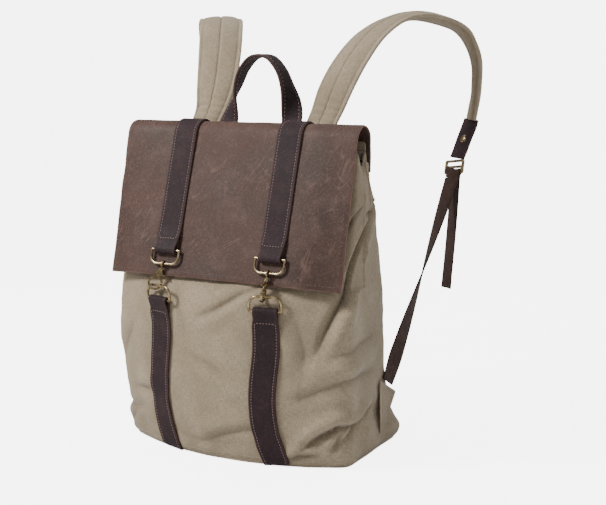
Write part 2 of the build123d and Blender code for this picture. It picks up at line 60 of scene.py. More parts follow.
def add_camera():
    a, e = CAMERA_AZIMUTH, CAMERA_ELEVATION
    back = Vector((np.sin(a) * np.cos(e), -np.cos(a) * np.cos(e), np.sin(e)))
    right = Vector((np.cos(a), np.sin(a), 0))
    up = back.cross(right)
    data = bpy.data.cameras.new("camera")
    data.lens = LENS
    data.sensor_width = 36
    data.clip_start = 0.01
    camera = bpy.data.objects.new("camera", data)
    turn = Matrix((right, up, back)).transposed()
    camera.matrix_world = Matrix.Translation(CAMERA_AT) @ turn.to_4x4()
    bpy.context.collection.objects.link(camera)
    bpy.context.scene.camera = camera


def add_area(name, at, towards, size, power, colour=(1, 1, 1)):
    data = bpy.data.lights.new(name, "AREA")
    data.shape = "RECTANGLE"
    data.size, data.size_y = size
    data.energy = power
    data.color = colour
    lamp = bpy.data.objects.new(name, data)
    direction = Vector(towards) - Vector(at)
    lamp.matrix_world = Matrix.Translation(at) @ direction.to_track_quat("-Z", "Y").to_matrix().to_4x4()
    bpy.context.collection.objects.link(lamp)


add_camera()
add_area("key", (-1.15, -1.35, 1.75), (0.0, -0.05, 0.20), (0.6, 0.6), 68, (1.0, 0.985, 0.955))
add_area("fill", (1.9, -1.5, 0.9), (0.0, 0.0, 0.2), (1.4, 1.2), 4, (0.97, 0.985, 1.0))
add_area("top", (0.1, 0.5, 1.9), (0.0, 0.05, 0.3), (1.2, 1.2), 9)
add_area("rim", (1.3, 1.3, 1.0), (0.0, 0.1, 0.3), (1.0, 1.2), 6)

world = bpy.data.worlds.new("studio")
bpy.context.scene.world = world
world.use_nodes = True
world.node_tree.nodes["Background"].inputs[0].default_value = (0.96, 0.97, 1.0, 1)
world.node_tree.nodes["Background"].inputs[1].default_value = 0.34


# ------------------------------------------------------------------ materials
class Shader:
    """A few lines of node building for one procedural material."""

    def __init__(self, name, roughness=0.8, metallic=0.0, sheen=0.0, specular=0.5):
        self.material = bpy.data.materials.new(name)
        self.material.use_nodes = True
        self.tree = self.material.node_tree
        self.bsdf = self.tree.nodes["Principled BSDF"]
        self.bsdf.inputs["Roughness"].default_value = roughness
        self.bsdf.inputs["Metallic"].default_value = metallic
        self.bsdf.inputs["Sheen Weight"].default_value = sheen
        self.bsdf.inputs["Specular IOR Level"].default_value = specular
        self.uv = self.node("ShaderNodeTexCoord").outputs["UV"]
        self.object = self.tree.nodes[-1].outputs["Object"]

    def node(self, kind, inputs=None, **settings):
        made = self.tree.nodes.new(kind)
        for key, value in settings.items():
            setattr(made, key, value)
        for key, value in (inputs or {}).items():
            if isinstance(value, bpy.types.NodeSocket):
                self.tree.links.new(value, made.inputs[key])
            else:
                made.inputs[key].default_value = value
        return made

    def mapped(self, source, scale=(1, 1, 1), turn=0.0):
        return self.node(
            "ShaderNodeMapping", {"Vector": source, "Scale": scale, "Rotation": (0, 0, turn)}
        ).outputs[0]

    def noise(self, source, scale, detail=3.0, rough=0.55, distortion=0.0):
        inputs = {"Vector": source, "Scale": scale, "Detail": detail, "Roughness": rough, "Distortion": distortion}
        return self.node("ShaderNodeTexNoise", inputs).outputs["Fac"]

    def bands(self, source, scale, distortion=0.0, direction="X"):
        inputs = {"Vector": source, "Scale": scale, "Distortion": distortion, "Detail": 1.0}
        made = self.node("ShaderNodeTexWave", inputs, wave_type="BANDS", bands_direction=direction)
        return made.outputs["Fac"]

    def ramp(self, value, low, high, low_out=0.0, high_out=1.0):
        inputs = {0: value, 1: low, 2: high, 3: low_out, 4: high_out}
        return self.node("ShaderNodeMapRange", inputs, clamp=True).outputs[0]

    def maths(self, kind, a, b):
        return self.node("ShaderNodeMath", {0: a, 1: b}, operation=kind).outputs[0]

    def mix(self, factor, a, b):
        return self.node("ShaderNodeMix", {0: factor, 6: a, 7: b}, data_type="RGBA").outputs[2]

    def attribute(self, name):
        return self.node("ShaderNodeAttribute", attribute_name=name).outputs["Fac"]

    def bump(self, heights):
        """heights is a list of (height socket, strength, distance in metres), from coarse to fine."""
        normal = None
        for height, strength, distance in heights:
            inputs = {"Height": height, "Strength": strength, "Distance": distance}
            if normal:
                inputs["Normal"] = normal
            normal = self.node("ShaderNodeBump", inputs).outputs[0]
        self.tree.links.new(normal, self.bsdf.inputs["Normal"])

    def colour(self, socket):
        self.tree.links.new(socket, self.bsdf.inputs["Base Color"])

    def roughness(self, socket):
        self.tree.links.new(socket, self.bsdf.inputs["Roughness"])


def rgba(r, g, b):
    return (r, g, b, 1.0)


def shade(colour, factor=1.0):
    """A colour made darker or lighter."""
    return rgba(*[min(1, c * factor) for c in colour])


def band_scale(pitch):
    """Wave texture scale for bands that repeat every pitch metres."""
    return np.pi / (20 * pitch)


def cloth_material(name, base, dark, light, pitch=0.0011, sheen=0.15):
    """Twill: fine diagonal ribs, slubs, a washed-out mottle, paler wear on raised edges and painted shade in creases,
    read from a vertex attribute.
    """
    s = Shader(name, roughness=0.92, sheen=sheen, specular=0.25)
    ribs = s.bands(s.mapped(s.uv, turn=np.radians(38)), band_scale(pitch), distortion=0.6)
    cross = s.bands(s.mapped(s.uv, turn=np.radians(-52)), 0.9 * band_scale(pitch), distortion=0.8)
    slub = s.noise(s.mapped(s.uv, (1, 5, 1)), 190, 4)
    slub_across = s.noise(s.mapped(s.uv, (5, 1, 1)), 190, 4)
    mottle = s.noise(s.object, 11, 4, 0.6)
    cloud = s.noise(s.object, 42, 3, 0.6)
    colour = s.mix(s.ramp(mottle, 0.35, 0.68), shade(dark), shade(base))
    colour = s.mix(s.ramp(cloud, 0.45, 0.75, 0.0, 0.35), colour, shade(light))
    weave = s.maths("MULTIPLY", s.maths("ADD", slub, slub_across), 0.5)
    colour = s.mix(s.ramp(weave, 0.42, 0.58, 0.0, 0.55), colour, shade(dark, 0.58))
    colour = s.mix(s.ramp(ribs, 0.0, 1.0, 0.14, 0.0), colour, shade(dark, 0.6))
    wear = s.ramp(s.maths("MULTIPLY", s.attribute("wear"), s.ramp(cloud, 0.3, 0.6, 0.5, 1.0)), 0.0, 1.0)
    colour = s.mix(wear, colour, shade(light, 1.35))
    # Painted shade: darkens the cloth where a vertex attribute marks the fold valleys and the inside face
    painted_shade = s.ramp(s.attribute("painted_shade"), 0.0, 1.0, 0.0, 0.85)
    s.colour(s.mix(painted_shade, colour, shade(dark, 0.32)))
    s.bump([(cloud, 0.30, 0.0014), (weave, 0.60, 0.0006), (s.maths("ADD", ribs, cross), 0.30, 0.00022)])
    return s.material


def leather_material(name, base, dark, light, scratches=1.0, roughness=0.62, grain=0.5, specular=0.3):
    """Oiled leather: cloudy pull-up tone, fine pores, pale scratches running several ways, pale worn edges."""
    s = Shader(name, roughness=roughness, specular=specular)
    cloud = s.noise(s.object, 13, 5, 0.62, 0.4)
    blotch = s.noise(s.object, 48, 4, 0.65, 0.2)
    fine = s.noise(s.object, 380, 3, 0.7)
    colour = s.mix(s.ramp(cloud, 0.38, 0.62), shade(dark), shade(base))
    colour = s.mix(s.ramp(blotch, 0.50, 0.74, 0.0, 0.75), colour, shade(light))
    colour = s.mix(s.ramp(fine, 0.42, 0.70, 0.0, 0.28), colour, shade(dark, 0.55))
    specks = s.ramp(s.noise(s.object, 520, 2, 0.6), 0.54, 0.70, 0.0, 0.5)
    colour = s.mix(specks, colour, shade(light, 1.5))
    marks = None
    for turn, stretch, offset in ((0.55, 6, 0.0), (-0.75, 8, 3.1), (1.35, 6, 7.7), (0.95, 9, 11.0)):
        shifted = s.node("ShaderNodeMapping", {"Vector": s.uv, "Location": (offset, offset * 0.7, 0)}).outputs[0]
        line = s.noise(s.mapped(s.mapped(shifted, turn=turn), (0.9, stretch, 1)), 9, 2, 0.5, 0.12)
        patch = s.noise(s.mapped(shifted, (1, 1, 1), turn), 22, 2)
        near = s.ramp(s.maths("ABSOLUTE", s.maths("SUBTRACT", line, 0.5), 0.0), 0.0, 0.013, 1.0, 0.0)
        mark = s.maths("MULTIPLY", near, s.ramp(patch, 0.56, 0.66))
        marks = mark if marks is None else s.maths("MAXIMUM", marks, mark)
    colour = s.mix(s.maths("MULTIPLY", marks, 0.34 * scratches), colour, shade(light, 2.4))
    wear = s.maths("MULTIPLY", s.attribute("wear"), s.ramp(blotch, 0.3, 0.65, 0.45, 1.0))
    s.colour(s.mix(wear, colour, shade(light, 2.6)))
    pores = s.node("ShaderNodeTexVoronoi", {"Vector": s.object, "Scale": 950.0}, feature="F1").outputs["Distance"]
    s.bump([(blotch, 0.25, 0.0009), (marks, -0.25, 0.0003), (pores, grain * 0.6, 0.00022), (fine, grain, 0.0003)])
    s.roughness(s.ramp(cloud, 0.3, 0.7, roughness - 0.08, roughness + 0.12))
    return s.material


def brass_material():
    """Antique brass: warm polished high spots over a brown patina."""
    s = Shader("antique_brass", roughness=0.3, metallic=1.0)
    patina = s.noise(s.object, 210, 4, 0.65)
    broad = s.noise(s.object, 60, 3)
    colour = s.mix(s.ramp(patina, 0.38, 0.66), rgba(0.145, 0.092, 0.045), rgba(0.50, 0.385, 0.215))
    s.colour(s.mix(s.ramp(broad, 0.52, 0.70, 0.0, 0.45), colour, rgba(0.80, 0.69, 0.46)))
    s.roughness(s.ramp(patina, 0.3, 0.7, 0.40, 0.20))
    s.bump([(patina, 0.12, 0.0002)])
    return s.material


def webbing_material():
    """Woven webbing: lengthwise ribs crossed by short picks."""
    s = Shader("webbing_weave", roughness=0.85, sheen=0.05, specular=0.25)
    along = s.bands(s.uv, band_scale(0.0012), 0.1, "X")
    across = s.bands(s.uv, band_scale(0.0009), 0.3, "Y")
    weave = s.maths("MULTIPLY", along, across)
    tone = s.noise(s.object, 90, 3)
    colour = s.mix(s.ramp(tone, 0.35, 0.7), rgba(0.040, 0.021, 0.016), rgba(0.062, 0.034, 0.026))
    s.colour(s.mix(s.ramp(weave, 0.2, 0.8, 0.0, 0.30), colour, rgba(0.085, 0.048, 0.036)))
    s.bump([(weave, 0.5, 0.0004)])
    return s.material


def plain_material(name, base, roughness=0.8, scale=700, strength=0.3, depth=0.0002):
    s = Shader(name, roughness=roughness, specular=0.3)
    grain = s.noise(s.object, scale, 3)
    s.colour(s.mix(s.ramp(grain, 0.3, 0.7), shade(base, 0.78), shade(base, 1.12)))
    s.bump([(grain, strength, depth)])
    return s.material


CANVAS = cloth_material("canvas_twill", (0.385, 0.308, 0.212), (0.295, 0.233, 0.156), (0.48, 0.395, 0.285))
CANVAS_EDGE = cloth_material("canvas_hem", (0.52, 0.46, 0.37), (0.42, 0.36, 0.28), (0.62, 0.57, 0.48))
LINING = cloth_material("lining_cotton", (0.29, 0.245, 0.18), (0.23, 0.19, 0.135), (0.34, 0.29, 0.22), 0.0008)
FLAP_LEATHER = leather_material(
    "flap_leather", (0.074, 0.040, 0.0305), (0.045, 0.0225, 0.0170), (0.100, 0.058, 0.0455)
)
STRAP_LEATHER = leather_material(
    "strap_leather", (0.0270, 0.0152, 0.0190), (0.0175, 0.0096, 0.0115), (0.048, 0.0235, 0.0240),
    scratches=0.3, roughness=0.68, grain=0.35, specular=0.22,
)
EDGE_LEATHER = plain_material("leather_cut_edge", (0.25, 0.145, 0.115), 0.75, 900)
DARK_EDGE = plain_material("strap_cut_edge", (0.055, 0.029, 0.024), 0.75, 900)
BRASS = brass_material()
WEBBING = webbing_material()
THREAD = plain_material("thread", (0.33, 0.235, 0.215), 0.75, 1500)
THREAD_PALE = plain_material("thread_pale", (0.46, 0.39, 0.29), 0.75, 1500)
THREAD_DARK = plain_material("thread_dark", (0.16, 0.095, 0.080), 0.75, 1500)
BOARD = plain_material("base_board", (0.24, 0.18, 0.12), 0.85, 120)
FOAM = plain_material("pad_foam", (0.60, 0.58, 0.52), 0.95, 500)


def paper_material():
    """Pale seamless paper, bright behind the object without flooding it with light."""
    s = Shader("studio_paper", roughness=0.95)
    grain = s.noise(s.object, 60, 2)
    s.colour(s.mix(grain, rgba(0.78, 0.78, 0.78), rgba(0.82, 0.82, 0.82)))
    glow = s.node("ShaderNodeEmission", {"Color": rgba(1, 1, 1), "Strength": 5.4})
    seen = s.node("ShaderNodeLightPath").outputs["Is Camera Ray"]
    lit = s.node("ShaderNodeAddShader", {0: s.bsdf.outputs[0], 1: glow.outputs[0]})
    both = s.node("ShaderNodeMixShader", {0: seen, 1: s.bsdf.outputs[0], 2: lit.outputs[0]})
    s.tree.links.new(both.outputs[0], s.tree.nodes["Material Output"].inputs["Surface"])
    return s.material


PAPER = paper_material()

# ------------------------------------------------------------------ mesh helpers
def make_object(name, vertices, faces, materials, smooth=True, uvs=None, face_slots=None, attributes=None):
    mesh = bpy.data.meshes.new(name)
    mesh.from_pydata([tuple(v) for v in vertices], [], [tuple(f) for f in faces])
    for material in materials:
        mesh.materials.append(material)
    if face_slots is not None:
        mesh.polygons.foreach_set("material_index", np.asarray(face_slots, np.int32))
    mesh.polygons.foreach_set("use_smooth", np.full(len(mesh.polygons), smooth))
    if uvs is not None:
        layer = mesh.uv_layers.new(name="metres")
        loops = np.empty(len(mesh.loops), np.int32)
        mesh.loops.foreach_get("vertex_index", loops)
        layer.data.foreach_set("uv", np.asarray(uvs, np.float32)[loops].ravel())
    for key, values in (attributes or {}).items():
        mesh.attributes.new(key, "FLOAT", "POINT").data.foreach_set("value", np.asarray(values, np.float32).ravel())
    shape = bmesh.new()
    shape.from_mesh(mesh)
    bmesh.ops.recalc_face_normals(shape, faces=shape.faces)
    shape.to_mesh(mesh)
    shape.free()
    made = bpy.data.objects.new(name, mesh)
    bpy.context.collection.objects.link(made)
    return made


def grid_faces(rows, cols, wrap_cols=False, start=0):
    """Quads over a grid of vertices numbered row by row."""
    last = cols if wrap_cols else cols - 1
    r, c = np.meshgrid(np.arange(rows - 1), np.arange(last), indexing="ij")
    n = (c + 1) % cols
    quads = np.stack([r * cols + c, r * cols + n, (r + 1) * cols + n, (r + 1) * cols + c], -1)
    return quads.reshape(-1, 4) + start


def normals_of(points, wrap_cols=False):
    """Unit normals of a grid of points, columns crossed with rows."""
    if wrap_cols:
        du = np.roll(points, -1, 1) - np.roll(points, 1, 1)
    else:
        du = np.gradient(points, axis=1)
    dv = np.gradient(points, axis=0)
    n = np.cross(du, dv)
    return n / np.maximum(np.linalg.norm(n, axis=-1, keepdims=True), 1e-12)


def unit(v):
    v = np.asarray(v, float)
    return v / np.maximum(np.linalg.norm(v, axis=-1, keepdims=True), 1e-12)


def smooth_curve(knots, rows, at):
    """Catmull-Rom through rows of numbers that stand at the knots."""
    slopes = np.gradient(rows, knots, axis=0)
    i = np.clip(np.searchsorted(knots, at, side="right") - 1, 0, len(knots) - 2)
    h = (knots[i + 1] - knots[i])[:, None]
    s = (np.asarray(at) - knots[i])[:, None] / h
    start, end = rows[i], rows[i + 1]
    leave, arrive = slopes[i] * h, slopes[i + 1] * h
    return (
        (2 * s**3 - 3 * s**2 + 1) * start + (s**3 - 2 * s**2 + s) * leave
        + (3 * s**2 - 2 * s**3) * end + (s**3 - s**2) * arrive
    )


def spline(points, count):
    """Even steps along a smooth curve through rows whose first three numbers are a place."""
    rows = np.asarray(points, float)
    knots = np.concatenate([[0], np.cumsum(np.linalg.norm(np.diff(rows[:, :3], axis=0), axis=1))])
    return smooth_curve(knots, rows, np.linspace(0, knots[-1], count))


def smooth_rows(z, levels):
    """Each column of the body levels as a smooth function of height."""
    rows = np.asarray(levels, float)
    return smooth_curve(rows[:, 0], rows, z)


def ripple(points, wavelength, seed, count=7):
    """Smooth seeded noise in about -1 to 1, for an array of points in mm."""
    rng = np.random.default_rng(seed)
    total = np.zeros(points.shape[:-1])
    for _ in range(count):
        k = unit(rng.normal(size=3)) * 2 * np.pi / (wavelength * rng.uniform(0.7, 1.5))
        total += np.sin(points @ k + rng.uniform(0, 2 * np.pi))
    return total / np.sqrt(count)


def bell(x):
    return np.exp(-0.5 * x * x)


def distance_to_path(u, v, path):
    """For every (u, v): distance to a polyline, which side of it, and how far along it from 0 to 1."""
    p = np.asarray(path, float)
    lengths = np.linalg.norm(np.diff(p, axis=0), axis=1)
    starts = np.concatenate([[0], np.cumsum(lengths)])
    best = np.full(u.shape, 1e9)
    side = np.zeros(u.shape)
    along = np.zeros(u.shape)
    for a, b, length, start in zip(p[:-1], p[1:], lengths, starts):
        d = (b - a) / length
        t = np.clip((u - a[0]) * d[0] + (v - a[1]) * d[1], 0, length)
        du, dv = u - a[0] - t * d[0], v - a[1] - t * d[1]
        dist = np.hypot(du, dv)
        closer = dist < best
        best = np.where(closer, dist, best)
        side = np.where(closer, np.sign(d[0] * dv - d[1] * du), side)
        along = np.where(closer, (start + t) / starts[-1], along)
    return best, side, along


ROUND_N = 4  # points round each long edge of a strap


def sweep(name, rows, section_half, materials, wear=0.0, samples=160, profile=None, extra=None):
    """A strap through rows of (x, y, z, heading, width, thickness) in mm, with rounded edges and capped ends.

    The width direction is the heading in plan, made square to the run. profile(t) scales the half thickness across
    a padded strap. extra(s, t, face) is how far the skin moves out, in mm, for s along, t across and either face.
    """
    path = spline(rows, samples)
    centre, heading, width, thick = path[:, :3], np.radians(path[:, 3]), path[:, 4], path[:, 5]
    tangent = unit(np.gradient(centre, axis=0))
    across = np.stack([np.cos(heading), np.sin(heading), np.zeros_like(heading)], -1)
    across = unit(across - tangent * np.sum(across * tangent, -1, keepdims=True))
    out = np.cross(across, tangent)
    # Section: top edge from -1 to 1, rounded side, bottom edge back, rounded side
    flat = np.linspace(-1, 1, section_half)
    arc = np.linspace(0, np.pi, ROUND_N + 2)[1:-1]
    tops = np.concatenate([flat, np.ones(ROUND_N), flat[::-1], -np.ones(ROUND_N)])
    lift = np.concatenate([np.ones(section_half), np.cos(arc), -np.ones(section_half), -np.cos(arc)])
    bulge = np.concatenate([np.zeros(section_half), np.sin(arc), np.zeros(section_half), np.sin(arc)])
    dome = profile(tops) if profile else np.ones_like(tops)
    edge_half = (thick / 2)[:, None] * dome[0]
    a = tops * ((width / 2)[:, None] - edge_half) + np.sign(tops) * bulge * edge_half
    b = lift * dome * (thick / 2)[:, None]
    points = centre[:, None, :] + across[:, None, :] * a[..., None] + out[:, None, :] * b[..., None]
    if extra:
        s_along = np.linspace(0, 1, samples)[:, None] * np.ones_like(a)
        swelling = np.sign(b) * extra(s_along, tops * np.ones_like(a), np.sign(b))
        points = points + out[:, None, :] * swelling[..., None]
    run = np.concatenate([[0], np.cumsum(np.linalg.norm(np.diff(centre, axis=0), axis=1))])
    around = np.concatenate([[0], np.cumsum(np.linalg.norm(np.diff(points[samples // 2], axis=0), axis=1))])
    uv = np.stack(np.broadcast_arrays(around[None, :], run[:, None]), -1).reshape(-1, 2) * MM
    cols = points.shape[1]
    faces = [list(f) for f in grid_faces(samples, cols, True)]
    slots = [0] * len(faces)
    edge = np.abs(bulge) > 0
    if len(materials) > 1:
        per_col = [1 if (edge[c] or edge[(c + 1) % cols]) else 0 for c in range(cols)]
        slots = per_col * (samples - 1)
    faces += [list(range(cols))[::-1], list(range((samples - 1) * cols, samples * cols))]
    slots += [len(materials) - 1] * 2
    worn = np.tile(np.where(edge, wear, 0.0) + wear * 0.5 * np.clip(np.abs(tops) - 0.8, 0, 1) * 5, samples)
    made = make_object(
        name, points.reshape(-1, 3) * MM, faces, materials, uvs=uv, face_slots=slots,
        attributes={"wear": worn, "painted_shade": np.zeros(samples * cols)},
    )
    return made, {"points": points, "flat": flat, "out": out, "run": run, "centre": centre, "across": across}


def stitch_run(points, normals, pitch=5.0, length=3.1, radius=0.42, lift=0.1):
    """Vertices and faces of one row of stitches: short round-ended threads half sunk in the surface (mm)."""
    p = np.asarray(points, float)
    n = np.asarray(normals, float)
    run = np.concatenate([[0], np.cumsum(np.linalg.norm(np.diff(p, axis=0), axis=1))])
    count = int(run[-1] // pitch)
    if count < 1:
        return np.zeros((0, 3)), []
    centres = (np.arange(count) + 0.5) * run[-1] / count
    at = [np.array([np.interp(centres + shift, run, p[:, k]) for k in range(3)]).T for shift in (-0.5, 0, 0.5)]
    face_normal = unit(np.array([np.interp(centres, run, n[:, k]) for k in range(3)]).T)
    direction = unit(at[2] - at[0])
    side = np.cross(direction, face_normal)
    rings = ((-0.5, 0.25), (-0.36, 0.85), (0.0, 1.0), (0.36, 0.85), (0.5, 0.25))
    angles = np.arange(6) * np.pi / 3
    verts, faces = [], []
    for c, d, w, f in zip(at[1], direction, side, face_normal):
        start = len(verts)
        for offset, scale in rings:
            arch = lift + radius * 0.5 * (1 - (2 * offset) ** 2)
            for angle in angles:
                verts.append(
                    c + d * offset * length + w * np.cos(angle) * radius * scale
                    + f * (np.sin(angle) * radius * scale * 0.8 + arch)
                )
        faces += [list(q) for q in grid_faces(len(rings), 6, True, start)]
        faces.append([start + k for k in range(6)][::-1])
        faces.append([start + 24 + k for k in range(6)])
    return np.array(verts), faces


def stitches(name, runs, material=None, **options):
    """One mesh of several stitch rows; runs is a list of (points, normals) in mm."""
    verts, faces = [], []
    total = 0
    for points, normals in runs:
        v, f = stitch_run(points, normals, **options)
        verts.append(v)
        faces += [[i + total for i in face] for face in f]
        total += len(v)
    return make_object(name, np.concatenate(verts) * MM, faces, [material or THREAD])


def strap_run(strap, across, face=1, start=0.0, end=1.0):
    """A stitch path along a swept strap, at -1 to 1 across it, on its outer (1) or inner (-1) face."""
    n = len(strap["flat"])
    rows = slice(int(round(start * (len(strap["points"]) - 1))), int(round(end * (len(strap["points"]) - 1))) + 1)
    block = strap["points"][rows, :n] if face > 0 else strap["points"][rows, -n - ROUND_N : -ROUND_N][:, ::-1]
    at = np.interp(across, strap["flat"], np.arange(n))
    low = int(min(at, n - 2))
    return block[:, low] * (1 - at + low) + block[:, low + 1] * (at - low), strap["out"][rows] * face


def cross_run(strap, at, face=1, reach=0.82):
    """A stitch path across a swept strap, at 0 to 1 along it."""
    row = int(round(at * (len(strap["points"]) - 1)))
    n = len(strap["flat"])
    keep = np.abs(strap["flat"]) <= reach
    block = strap["points"][row, :n] if face > 0 else strap["points"][row, -n - ROUND_N : -ROUND_N][::-1]
    points = block[keep]
    return points, np.repeat(strap["out"][row][None] * face, len(points), 0)


def closed_sheet(upper, lower):
    """Points and faces of a sheet between two grids of points, and how many faces make its rim."""
    rows, cols = upper.shape[:2]
    faces = [list(q) for q in grid_faces(rows, cols)] + [list(q) for q in grid_faces(rows, cols, start=rows * cols)]
    ring = (
        list(range(cols)) + [cols * i + cols - 1 for i in range(1, rows)]
        + [(rows - 1) * cols + i for i in range(cols - 2, -1, -1)] + [cols * i for i in range(rows - 2, 0, -1)]
    )
    faces += [[a, b, b + rows * cols, a + rows * cols] for a, b in zip(ring, ring[1:] + ring[:1])]
    return np.concatenate([upper.reshape(-1, 3), lower.reshape(-1, 3)]), faces, len(ring)


def outline_of(corners, step=2.0, soften=1.4):
    """An evenly spaced closed outline through corner points (mm), with its corners softened."""
    c = np.asarray(corners, float)
    sides = [
        np.linspace(a, b, max(2, int(np.linalg.norm(b - a) / step)), endpoint=False)
        for a, b in zip(c, np.roll(c, -1, 0))
    ]
    p = np.concatenate(sides)
    f = np.fft.fftfreq(len(p))[:, None]
    return np.fft.ifft(np.fft.fft(p, axis=0) * np.exp(-2 * (np.pi * f * soften) ** 2), axis=0).real


def patch(name, outline, normal, thick, materials, wave=0.0, seed=1, edge_wear=0.3):
    """A closed thin piece on a convex outline (mm) with a rounded rim."""
    o, n = np.asarray(outline, float), unit(normal)
    centre = o.mean(0)
    reach = np.linalg.norm(o - centre, axis=1)[:, None]
    rings = [(d, 1.0) for d in (0.0, 0.12, 0.4, 0.75, 1.0, 2.0, 4.0)] + [(4.0, f) for f in (0.8, 0.55, 0.3, 0.02)]
    faces_up = []
    for d, f in rings:
        inset = np.minimum(d * thick / 2, reach * 0.7)
        p = centre + (o - centre) * (1 - inset / reach) * f
        half = thick / 2 * np.sqrt(max(0.0, 1 - (1 - min(d, 1.0)) ** 2))
        faces_up.append((p, half))
    m = len(o)
    upper = [p + n * half for p, half in faces_up]
    lower = [p - n * half for p, half in faces_up[1:]]
    rings_all = lower[::-1] + upper
    verts = np.concatenate(rings_all)
    if wave:
        verts = verts + n * (ripple(verts, 40, seed) * wave)[:, None]
    faces = [list(q) for q in grid_faces(len(rings_all), m, True)]
    faces += [list(range(m))[::-1], list(range((len(rings_all) - 1) * m, len(rings_all) * m))]
    side = unit(np.cross(n, [0.01, 0.02, 1.0] if abs(n[2]) < 0.9 else [0, 1.0, 0]))
    uv = np.stack([verts @ side, verts @ np.cross(n, side)], -1) * MM
    worn = np.concatenate([np.full(m, edge_wear if k > 7 and k < 14 else 0.0) for k in range(len(rings_all))])
    return make_object(name, verts * MM, faces, materials, uvs=uv, attributes={"wear": worn})


# ------------------------------------------------------------------ canvas body
# height, half width, back y, corner y, front y on the centre line
BODY_LEVELS = [
    (0, 149, 84, -57, -96),
    (12, 150.5, 88, -59, -100),
    (30, 149.5, 80, -62, -104.5),
    (60, 148.5, 65, -67, -109.5),
    (85, 149, 54, -69, -112),
    (125, 150.5, 44, -71, -113.5),
    (150, 151, 37, -72, -113.8),
    (178, 151.5, 33, -72, -113),
    (200, 151, 28.5, -70, -104),
    (214, 150, 25.5, -68, -92.5),
    (250, 149.5, 16, -60, -80),
    (300, 149, 0, -50, -64),
    (328, 148, -14.2, -45, -55),
    (355, 147, -14.4, -38, -45),
]
PER_SIDE = (190, 90, 90, 90)  # columns along the front, right, back and left
ROW_HEIGHTS = np.concatenate([[2.6, 4, 6, 8.5], np.linspace(12, 355, 230)])
BODY_THICK = 1.5
EAR_HEIGHTS = (110, 150, 178, 214, 244, 283, 300, 325, 341, 355)
EAR_REACH = (0, 3, 3, 3, 4, 4, 7, 8, 4, 0)

# Folds of the canvas, drawn as paths of (distance round the front corner or x, height), in mm.
# The first number of each point is x on the front; beyond the right corner it carries on round the side.
# path, depth in, ridge out beside it, half width of the valley, which side the ridge is on
FOLDS = [
    ([(66, 212), (36, 198), (8, 180), (-14, 170)], 4.0, 2.4, 4.6, 1),
    (
        [(193, 283), (172, 258), (157, 236), (153, 223), (147, 197), (138, 177), (130, 158), (123, 138)],
        8.5, 4.6, 5.0, 1,
    ),
    ([(137, 266), (149, 285), (166, 297)], 3.6, 2.6, 3.6, 1),
    ([(175, 283), (197, 286)], 3.6, 1.8, 3.4, -1),
    ([(102, 24), (121, 39), (142, 52), (168, 50)], 7.0, 4.5, 4.6, 1),
    ([(143, 36), (158, 42), (179, 51), (219, 58)], 7.5, 4.5, 4.4, 1),
    ([(84, 7), (98, 16), (119, 18)], 3.6, 2.6, 3.6, 1),
    ([(144, 46), (138, 34), (133, 22)], 3.2, 1.8, 3.2, -1),
    ([(-172, 50), (-150, 43), (-131, 40), (-116, 44)], 2.6, 1.4, 6.0, -1),
    ([(-119, 70), (-98, 70), (-76, 65)], 3.0, 2.0, 5.0, 1),
    ([(-152, 10), (-140, 24), (-128, 36)], 1.8, 1.4, 5.0, 1),
    ([(22, 104), (-2, 116), (-30, 125)], 2.0, 1.4, 7.0, 1),
    ([(100, 82), (125, 96), (148, 107), (190, 104), (222, 100)], 3.0, 2.4, 7.0, 1),
    ([(130, 130), (150, 138), (175, 142), (214, 144)], 2.4, 2.0, 7.0, -1),
    ([(-20, 20), (14, 34), (45, 43), (80, 34)], 2.2, 1.6, 6.0, 1),
    ([(-60, 30), (-30, 22), (0, 20)], 1.6, 1.2, 6.0, -1),
    ([(-118, 150), (-135, 120), (-146, 96)], 2.0, 1.8, 8.0, -1),
    ([(-52, 205), (-40, 170), (-32, 140)], 1.4, 1.0, 9.0, 1),
    ([(100, 172), (110, 140), (106, 112)], 1.8, 1.6, 8.0, -1),
]


def body_grid():
    """Points of the outer canvas, row by row from the base to the mouth, with helper coordinates."""
    level = smooth_rows(ROW_HEIGHTS, BODY_LEVELS)
    rows = []
    for z, w, back, corner, front in level:
        tuck = 5.0 * np.clip((8.5 - z) / 8.5, 0, 1) ** 2
        w, back, corner, front = w - tuck, back - tuck, corner + tuck, front + tuck
        t = np.linspace(-1, 1, PER_SIDE[0], endpoint=False)
        side = np.linspace(0, 1, PER_SIDE[1], endpoint=False)
        rear = np.linspace(1, -1, PER_SIDE[2], endpoint=False)
        x = np.concatenate([t * w, np.full(PER_SIDE[1], w), rear * w, np.full(PER_SIDE[3], -w)])
        bow = front + (corner - front) * np.abs(t) ** 2.05
        y = np.concatenate(
            [bow, corner + (back - corner) * side, np.full(PER_SIDE[2], back), back + (corner - back) * side]
        )
        # The side cloth stands back past the flat back panel, and swells a little
        ear = np.interp(z, EAR_HEIGHTS, EAR_REACH)
        right, left = slice(PER_SIDE[0], PER_SIDE[0] + PER_SIDE[1]), slice(-PER_SIDE[3], None)
        y[right] += ear * side**1.5
        y[left] += ear * (1 - side) ** 1.5
        y[right.stop : left.start] += ear * np.clip(np.abs(rear) * 5 - 4, 0, 1) ** 1.5
        x[right] += 0.4 * ear * np.sin(np.pi * side)
        x[left] -= 0.4 * ear * np.sin(np.pi * side)
        rows.append(np.stack([x, y, np.full_like(x, z)], -1))
    return np.array(rows)


def smooth_round(points, sigma):
    """Rounds the plan corners by a circular Gaussian along each row, at the same heights."""
    f = np.fft.fftfreq(points.shape[1])
    kernel = np.exp(-2 * (np.pi * f * sigma) ** 2)[None, :, None]
    done = np.fft.ifft(np.fft.fft(points, axis=1) * kernel, axis=1).real
    done[..., 2] = points[..., 2]
    return done


def outward_normals(points):
    """Normals of the body's skin, turned so that those on the front face forwards."""
    normals = normals_of(points, True)
    return -normals if normals[80, 75, 1] > 0 else normals


CORNER_ROUNDING = 5.0  # columns
body = smooth_round(body_grid(), CORNER_ROUNDING)
outward = outward_normals(body)
